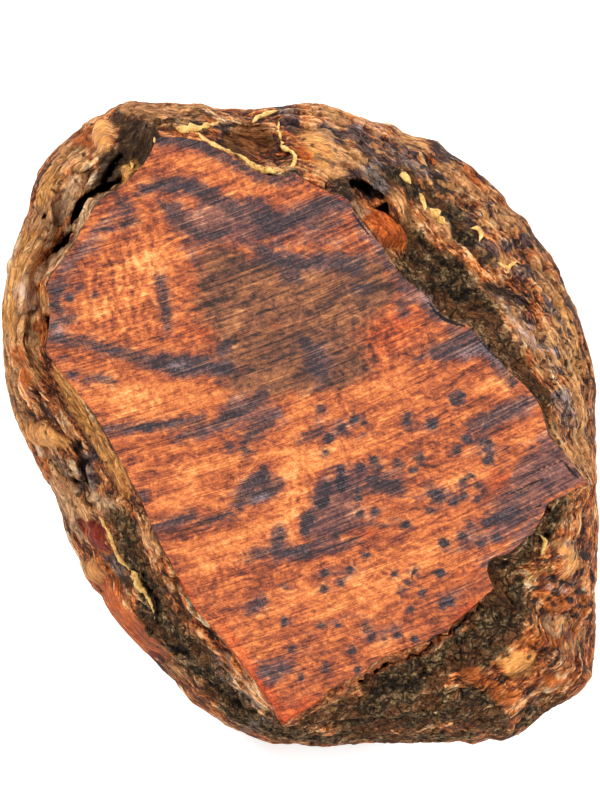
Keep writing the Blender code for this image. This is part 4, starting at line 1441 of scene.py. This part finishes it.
def burl_wall_wood():
    """The natural outside of the burl: folded, fibrous, waxed wood with bark, char and pale bast;
    painted shade darkens its shadowed places, crevices and hollows, and painted highlights and sheen lie
    on it.
    """
    wood = Finish("burl_wall")
    place = wood.object_place()
    flow = wood.layer("flow", "Vector")
    relief = wood.layer("relief")
    wild = wood.layer("wild")
    groove = wood.layer("groove")
    polished = wood.layer("polished")
    facet = wood.layer("facet")

    streaks = wood.grain(flow, (16.0, 16.0, 3.4), 4.0, 0.55, 1.0, 3.2)
    bands = wood.grain(flow, (40.0, 40.0, 9.0), 4.0, 0.55, 1.2, 3.0)
    fine = wood.grain(flow, (6.0, 6.0, 1.0), 4.0, 0.65, 0.0, 3.2)
    hairs = wood.grain(flow, (5.0, 5.0, 0.9), 3.0, 0.75, 0.0, 3.6)
    patches = wood.grain(place, (9.0, 9.0, 9.0), 4.0, 0.55, 1.4, 3.2)
    hues = wood.grain(flow, (13.0, 13.0, 6.5), 4.0, 0.55, 1.6, 3.4)
    hues = wood.sway(hues, (wood.layer("facet_hue"), 0.9))
    veins = wood.grain(flow, (11.0, 11.0, 4.6), 4.0, 0.6, 1.6, 3.0)
    crumbs = wood.grain(place, (3.0, 3.0, 3.0), 5.0, 0.65, 0.6, 3.2)
    specks = wood.grain(place, (1.4, 1.4, 1.4), 4.0, 0.75, 0.0, 3.6)
    fibre_lines = wood.grain(flow, (14.0, 14.0, 2.2), 3.0, 0.6, 0.8, 2.0)
    torn_lines = wood.seam(wood.grain(flow, (7.0, 7.0, 3.0), 4.0, 0.7, 1.0, 3.0), 0.12)
    slivers = wood.chips(wood.shaken(flow, 6.0, 1.4), (10.0, 10.0, 2.6))
    small_slivers = wood.chips(wood.shaken(flow, 3.0, 0.9), (4.4, 4.4, 1.8))
    long_ridges = wood.ridges(flow, (20.0, 20.0, 5.0), 0.7)
    low_ridges = wood.ridges(flow, (9.0, 9.0, 2.4), 0.7)
    ridges = wood.blend(0.4, long_ridges, low_ridges)
    pit_gap = wood.cells(wood.shaken(place, 3.0, 0.8), (4.6, 4.6, 4.6))
    peeling = wood.shaken(flow, 7.0, 3.5)
    plates = wood.chips(peeling, PLATE_SIZE)
    crack_gap = wood.cells(peeling, PLATE_SIZE, "DISTANCE_TO_EDGE")
    loose = wood.shaken(place, 5.0, 2.5)
    flakes = wood.chips(loose, (2.3, 2.3, 2.3))
    small_crack_gap = wood.cells(loose, (2.6, 2.6, 2.6), "DISTANCE_TO_EDGE")
    calm = wood.grain(flow, (26.0, 26.0, 14.0), 2.0, 0.5, 0.8, 3.0)
    calm = wood.between(calm, 0.3, 0.65, 0.75, 1.0)
    lively = wood.times(calm, wood.scaled(polished, -0.4, 1.0))
    mottle = wood.blend(0.5, streaks, patches)

    near_tone = wood.sway(
        0.62,
        (streaks, 0.38),
        (slivers, wood.times(lively, 0.34)),
        (fine, wood.times(lively, 0.44)),
        (specks, 0.34),
        (ridges, wood.times(lively, 0.34)),
        (hairs, 0.34),
        (crumbs, 0.18),
        (small_slivers, wood.times(lively, 0.40)),
    )
    own_grain = wood.sway(near_tone, (facet, 0.16), (patches, 0.20), (bands, 0.10))
    tone = wood.sway(
        wood.math("SUBTRACT", near_tone, 0.05),
        (bands, 0.24),
        (facet, 0.30),
        (patches, 0.34),
    )
    # Painted shade and light: the tone falls where the relief is low and rises where it is high
    tone = wood.scaled(relief, 0.03, tone)
    base = wood.ramp(tone, [
        (0.0, 40, 25, 18),
        (0.2, 98, 52, 29),
        (0.4, 160, 92, 48),
        (0.6, 212, 136, 75),
        (0.8, 242, 182, 116),
        (1.0, 255, 224, 178),
    ])
    violet = wood.ramp(tone, [
        (0.0, 32, 28, 34),
        (0.25, 74, 60, 66),
        (0.5, 124, 98, 96),
        (0.75, 180, 142, 128),
        (1.0, 232, 204, 188),
    ])
    base = wood.cover(base, violet, wood.between(hues, 0.70, 1.0), wood.scaled(wild, 0.35, 0.20))
    base = wood.stain(base, (1.15, 0.74, 0.52), wood.between(hues, 0.36, 0.06), 0.7)
    slate = wood.mark(wood.layer("slate"), mottle, 8.0, 2.5, grown=2.5)
    base = wood.cover(base, wood.mix(0.6, violet, (0.016, 0.014, 0.018, 1.0)), slate, 0.88)
    for name, light, dark, ragged, soft, most in WALL_WOODS:
        mask = wood.mark(wood.layer(name), mottle, ragged, soft, grown=1.0)
        base = wood.cover(base, wood.mix(own_grain, colour(*dark), colour(*light)), mask, most)
        if name == "charred_and_shaded":
            burnt_and_shaded = mask
        if name == "ruddy":
            base = wood.stain(base, (1.0, 0.76, 0.36), mask, polished)

    blotches = wood.times(wood.between(veins, 0.64, 0.76), wood.between(bands, 0.3, 0.7, 0.1, 1.0))
    dark_wood = wood.mix(fine, colour(30, 23, 26), colour(86, 68, 70))
    base = wood.cover(base, dark_wood, blotches, wood.scaled(wild, 0.6, 0.4))
    warm_wood = wood.mix(slivers, colour(198, 104, 46), colour(250, 190, 118))
    base = wood.cover(base, warm_wood, wood.between(veins, 0.38, 0.22), wild, 0.75)
    # Dark lines: cracks along the fibre lines and the veins, and painted shade along the folds between
    # ridges and the grooves between facets
    lines = wood.times(wood.seam(fibre_lines, 0.06), wood.between(patches, 0.2, 0.8, 0.5, 1.0))
    swirls = wood.times(wood.seam(veins, 0.06), wood.scaled(wild, 0.6, 0.3))
    crease_shade = wood.between(long_ridges, 0.45, 0.15)
    splits = wood.times(wood.most(lines, swirls, crease_shade), lively, 0.75)
    splits = wood.most(splits, wood.times(groove, 0.7))
    base = wood.cover(base, colour(40, 22, 14), splits, 0.86)
    dots = wood.between(wood.scaled(wild, 0.3, patches), 0.6, 0.95)
    dots = wood.times(wood.between(pit_gap, 0.34, 0.20), dots)
    base = wood.cover(base, colour(30, 20, 20), dots, 0.85)

    bark = wood.mark(wood.layer("bark"), mottle, 12.0, 3.0)
    # Painted shade and light: the bark's tone follows the relief, and drops where the char layer marks
    # bark lying in shadow
    bark_tone = wood.sway(
        wood.scaled(burnt_and_shaded, -0.22, wood.scaled(relief, 0.05, 0.48)),
        (crumbs, 0.44),
        (specks, 0.44),
        (flakes, 0.34),
        (patches, 0.32),
        (streaks, 0.24),
        (plates, 0.12),
    )
    bark_colour = wood.ramp(bark_tone, [
        (0.05, 36, 28, 19),
        (0.3, 82, 64, 43),
        (0.5, 124, 97, 65),
        (0.75, 168, 134, 90),
        (1.0, 220, 188, 136),
    ])
    bark_colour = wood.cover(bark_colour, colour(146, 88, 48), wood.between(hues, 0.34, 0.05, 0.0, 0.5))
    base = wood.cover(base, bark_colour, bark, 0.95)

    # Painted highlights: warm-white specks laid into the colour where the specks and hairs peak; the
    # dark pinholes below are pores
    glint_and_pinhole_noise = wood.blend(0.4, specks, hairs)
    painted_glints = wood.times(wood.between(glint_and_pinhole_noise, 0.78, 1.02), wood.between(streaks, 0.3, 0.9))
    base = wood.cover(base, colour(255, 216, 166), painted_glints, 0.42)
    pinholes = wood.times(wood.between(glint_and_pinhole_noise, 0.16, -0.06), wood.between(streaks, 0.8, 0.3))
    base = wood.cover(base, colour(28, 18, 14), pinholes, 0.7)

    shadow = wood.between(wood.sway(wood.layer("below_edge"), (mottle, 2.0)), 2.2, 0.4)
    base = wood.cover(base, colour(26, 17, 14), shadow, 0.8)
    growth = wood.math("SINE", wood.scaled(patches, 2.0, wood.layer("swirl")))
    year_lines = wood.between(growth, 0.45, 1.0)
    base = wood.stain(base, (0.34, 0.26, 0.22), year_lines, wood.layer("ringed"), 0.7)
    torn = wood.mark(wood.layer("torn"), crumbs, 5.0, 2.0)
    shreds = wood.ramp(wood.blend(0.4, crumbs, specks), [
        (0.2, 26, 16, 11),
        (0.45, 112, 58, 30),
        (0.65, 196, 98, 44),
        (0.95, 240, 168, 104),
    ])
    base = wood.cover(base, shreds, torn, 0.85)
    eyes = wood.mark(wood.layer("wall_eyes"), crumbs, 3.0, 1.2, grown=0.8)
    base = wood.cover(base, colour(24, 19, 23), eyes, 0.9)
    glow = wood.mark(wood.layer("glow"), mottle, 3.0, 1.4)
    base = wood.cover(base, wood.mix(specks, colour(110, 30, 10), colour(228, 92, 26)), glow, 0.75)
    # Painted sheen: grey reflections of the lights, laid over the colour where the fine grain is high
    sheen = wood.mark(wood.layer("sheen"), mottle, 12.0, 4.0)
    base = wood.cover(base, colour(214, 192, 184), sheen, wood.between(fine, 0.2, 0.9), 0.6)

    dry = wood.most(bark, wood.times(burnt_and_shaded, 0.6))
    plate_cracks = wood.times(wood.between(crack_gap, 0.11, 0.02), wood.between(patches, 0.2, 0.45))
    small_cracks = wood.between(small_crack_gap, 0.10, 0.0, 0.0, 0.8)
    small_cracks = wood.times(small_cracks, wood.between(patches, 0.6, 0.3))
    cracks = wood.times(wood.most(plate_cracks, small_cracks, wood.times(torn_lines, 0.8)), dry)
    base = wood.cover(base, colour(16, 12, 10), cracks, 0.85)
    # Painted shade and darker wood: the inside of the bowl is darkened
    base = wood.stain(base, (0.46, 0.33, 0.27), wood.layer("hollow"), 0.85)
    # Painted shade: the deepest crevices and holes are darkened to near black
    base = wood.cover(base, colour(16, 11, 9), wood.between(relief, -2.6, -6.0), 0.92)

    fibre_height = wood.scaled(fine, 0.5, ridges)
    for part, amount in ((hairs, 0.25), (dots, -0.6), (slivers, 0.4), (splits, -0.8)):
        fibre_height = wood.scaled(part, amount, fibre_height)
    fibre_height = wood.times(fibre_height, wood.scaled(polished, -0.4, 0.9))
    crumb_height = wood.scaled(cracks, -1.2, wood.scaled(flakes, 0.4, crumbs))
    skin = wood.bump(wood.blend(dry, fibre_height, crumb_height), 0.9)
    skin = wood.bump(specks, 0.30, 0.8, skin)
    rough = wood.scaled(dry, 0.32, wood.between(fine, 0.2, 0.8, 0.24, 0.40))
    slanted = wood.node("ShaderNodeLayerWeight", {"Blend": 0.4}).outputs["Facing"]
    rough = wood.math("MINIMUM", wood.scaled(slanted, 0.5, rough), 0.95)
    return wood.done(base, rough, skin, WALL_GLOSS)


def underside_wood():
    """The sawn underside on which the lump stands: plain, dry and unwaxed."""
    wood = Finish("sawn_underside")
    place = wood.object_place()
    rings = wood.grain(place, (60.0, 7.0, 7.0), 5.0, 0.6, 1.6)
    mottle = wood.grain(place, (14.0, 11.0, 9.0), 4.0, 0.6, 1.4)
    lines = wood.grain(place, (80.0, 1.2, 2.0), 3.0, 0.7)
    base = wood.ramp(wood.sway(wood.blend(0.4, rings, mottle), (lines, 0.22)), [
        (0.25, 66, 40, 30),
        (0.42, 122, 66, 38),
        (0.58, 168, 98, 54),
        (0.75, 198, 134, 84),
    ])
    eyes = wood.between(wood.cells(place, (7.0, 7.0, 7.0)), 0.28, 0.14)
    base = wood.cover(base, colour(48, 32, 30), eyes, wood.between(mottle, 0.5, 0.62), 0.85)
    return wood.done(base, wood.between(lines, 0.3, 0.7, 0.55, 0.75), wood.bump(lines, 0.3, 0.5))


def bast_material():
    """Pale yellow bast, dry and fibrous, with brown stains."""
    bast = Finish("pale_bast")
    place = bast.object_place()
    stains = bast.grain(place, (3.0, 3.0, 3.0), 4.0, 0.6)
    threads = bast.grain(place, (0.9, 0.9, 0.9), 4.0, 0.7)
    base = bast.ramp(bast.blend(0.45, stains, threads), [
        (0.05, 120, 76, 34),
        (0.3, 196, 140, 64),
        (0.55, 230, 184, 100),
        (0.9, 250, 222, 152),
    ])
    return bast.done(base, bast.between(threads, 0.1, 0.9, 0.45, 0.7), bast.bump(threads, 0.4, 0.8))


def make_lump():
    """The whole burl as one closed piece, with its relief, its marks and its three finishes."""
    lump = ring_mesh()
    lump.name = "burl"
    mesh = lump.data
    mesh.name = "burl"
    wall = Wall()
    wall_count = len(wall.pixels)
    disk = numbers_of(mesh.vertices, "co", 3)[wall_count:, :2]
    face = face_places(disk, wall.directions)
    paint = wall.paint_pixels()
    shaped, pattern = shape_wall(wall, paint)
    places = np.concatenate((shaped, face))
    mesh.vertices.foreach_set("co", (places * MM).ravel())
    mesh.update()
    paint_layers(mesh, wall, paint, pattern, face)
    unfold(mesh, wall, places)

    sides = numbers_of(mesh.polygons, "loop_total")
    starts = numbers_of(mesh.polygons, "loop_start")
    highest = np.maximum.reduceat(numbers_of(mesh.loops, "vertex_index"), starts)
    on_face = (highest >= wall_count) | (highest < COLUMNS)
    kinds = np.where(sides > 4, 2, np.where(on_face, 0, 1))
    for material in (sawn_face_wood(), burl_wall_wood(), underside_wood()):
        mesh.materials.append(material)
    mesh.polygons.foreach_set("material_index", kinds.tolist())

    bpy.ops.object.select_all(action="DESELECT")
    lump.select_set(True)
    bpy.context.view_layer.objects.active = lump
    bpy.ops.object.shade_smooth()
    ends = numbers_of(mesh.edges, "vertices", 2)
    round_face = (ends < COLUMNS).all(axis=1)
    round_base = ((ends >= wall_count - COLUMNS) & (ends < wall_count)).all(axis=1)
    sharp_edges = mesh.attributes.new("sharp_edge", "BOOLEAN", "EDGE")
    sharp_edges.data.foreach_set("value", (round_face | round_base).tolist())
    mesh.validate()
    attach(lump, "root")
    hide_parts("thuya_burl")
    return shaped


def make_bast_ribbon(chain, surface_pixels, surface_heights):
    """One ribbon of bast that follows the wall: a small disc extruded step by step along its chain."""
    chain = np.array(chain, float)
    lengths = np.hypot(*np.diff(chain[:, :2], axis=0).T)
    run = np.concatenate(([0.0], np.cumsum(lengths))) * PIXEL
    count = max(4, round(run[-1] / RIBBON_STEP))
    at = np.linspace(0, run[-1], count)
    line = np.column_stack([np.interp(at, run, chain[:, part]) for part in range(3)])
    bends = np.column_stack((line[:, :2] * RIBBON_BENDS, np.zeros(count)))
    wobble = shifted_noise(bends, 2, ((0, 0, 3.1), (0, 0, 8.7), (0, 0, 14.2)))
    line[:, :2] += RIBBON_WANDER * wobble[:, :2]
    line[:, 2] *= 1 + RIBBON_UNEVEN * wobble[:, 2]
    taper = np.sin(np.linspace(0, math.pi, count)) ** 0.35
    half = np.maximum(line[:, 2] * PIXEL * taper, RIBBON_TIP)

    heights = np.empty(count)
    for row, spot in enumerate(line[:, :2]):
        nearest = np.argsort(np.hypot(*(surface_pixels - spot).T))[:6]
        heights[row] = np.sort(surface_heights[nearest])[-3:].mean()
    heights = np.convolve(np.pad(heights, 2, mode="edge"), np.full(5, 0.2), mode="valid")
    middle = true_place(seen_place(line[:, :2]), heights)
    along = np.gradient(middle, axis=0)
    along /= np.maximum(np.hypot(*along.T), 1e-6)[:, None]
    side = np.column_stack((-along[:, 1], along[:, 0]))

    bpy.ops.object.select_all(action="DESELECT")
    bpy.ops.mesh.primitive_circle_add(vertices=RIBBON_SIDES, radius=MM, fill_type="NGON")
    ribbon = bpy.context.object
    bpy.ops.object.mode_set(mode="EDIT")
    bpy.ops.mesh.select_all(action="SELECT")
    for _ in range(count - 1):
        bpy.ops.mesh.extrude_region_move(TRANSFORM_OT_translate={"value": (0, 0, MM)})
    bpy.ops.object.mode_set(mode="OBJECT")
    straight = numbers_of(ribbon.data.vertices, "co", 3) / MM
    row = np.clip(np.round(straight[:, 2]).astype(int), 0, count - 1)
    angle = np.arctan2(straight[:, 1], straight[:, 0])
    plan = middle[row] + side[row] * (np.cos(angle) * half[row])[:, None]
    upward = np.sin(angle) * half[row] * RIBBON_HEIGHT + RIBBON_RISE * half[row]
    places = np.column_stack((plan, heights[row] + upward))
    ribbon.data.vertices.foreach_set("co", (places * MM).ravel())
    turn_faces_outward()
    bpy.ops.object.shade_smooth()
    return ribbon


def make_bast(shaped):
    """All the ribbons and flecks of bast that lie on the wall, as one piece."""
    rim = (RIM_RINGS + 1) * COLUMNS
    heights = shaped[:rim, 2]
    rim_pixels = pixels_of(spread(shaped[:rim, :2], 1 / shrinking(heights)))
    ribbons = [make_bast_ribbon(chain, rim_pixels, heights) for chain in YELLOW_BAST]
    bpy.ops.object.select_all(action="DESELECT")
    for ribbon in ribbons:
        ribbon.select_set(True)
    bpy.context.view_layer.objects.active = ribbons[0]
    bpy.ops.object.join()
    piece = bpy.context.object
    piece.name = "bast_ribbons"
    piece.data.name = "bast_ribbons"
    bpy.ops.object.transform_apply(location=True, rotation=True, scale=True)
    piece.data.materials.append(bast_material())
    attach(piece, "root")


def soft_light(name, place, size, watts):
    """A large square light that faces the middle of the lump."""
    lamp = bpy.data.lights.new(name, "AREA")
    lamp.shape = "SQUARE"
    lamp.size = size
    lamp.energy = watts
    light = bpy.data.objects.new(name, lamp)
    bpy.context.scene.collection.objects.link(light)
    light.location = place
    facing = Vector(LIGHT_TARGET) - Vector(place)
    light.rotation_euler = facing.to_track_quat("-Z", "Y").to_euler()


def make_studio():
    """A pale floor, soft light from all sides and the camera straight above."""
    bpy.ops.object.select_all(action="DESELECT")
    bpy.ops.mesh.primitive_plane_add(size=FLOOR_SIZE, location=(0, 0, 0))
    floor = bpy.context.object
    floor.name = "floor"
    pale = Finish("pale_floor")
    for name, value in FLOOR_LOOK.items():
        pale.shader.inputs[name].default_value = value
    floor.data.materials.append(pale.material)
    for box in SOFT_BOXES:
        soft_light(*box)

    scene = bpy.context.scene
    world = bpy.data.worlds.new("studio")
    world.use_nodes = True
    background = world.node_tree.nodes["Background"]
    background.inputs["Color"].default_value = (1.0, 1.0, 1.0, 1.0)
    background.inputs["Strength"].default_value = ROOM_LIGHT
    scene.world = world
    scene.view_settings.view_transform = "Standard"

    lens = bpy.data.cameras.new("camera")
    lens.sensor_fit = "VERTICAL"
    lens.sensor_height = SENSOR
    lens.lens = SENSOR * EYE_ABOVE_FACE / (PHOTO_ROWS * PIXEL)
    camera = bpy.data.objects.new("camera", lens)
    camera.location = (EYE[0] * MM, EYE[1] * MM, (HEIGHT + EYE_ABOVE_FACE) * MM)
    scene.collection.objects.link(camera)
    scene.camera = camera


make_bast(make_lump())
make_studio()
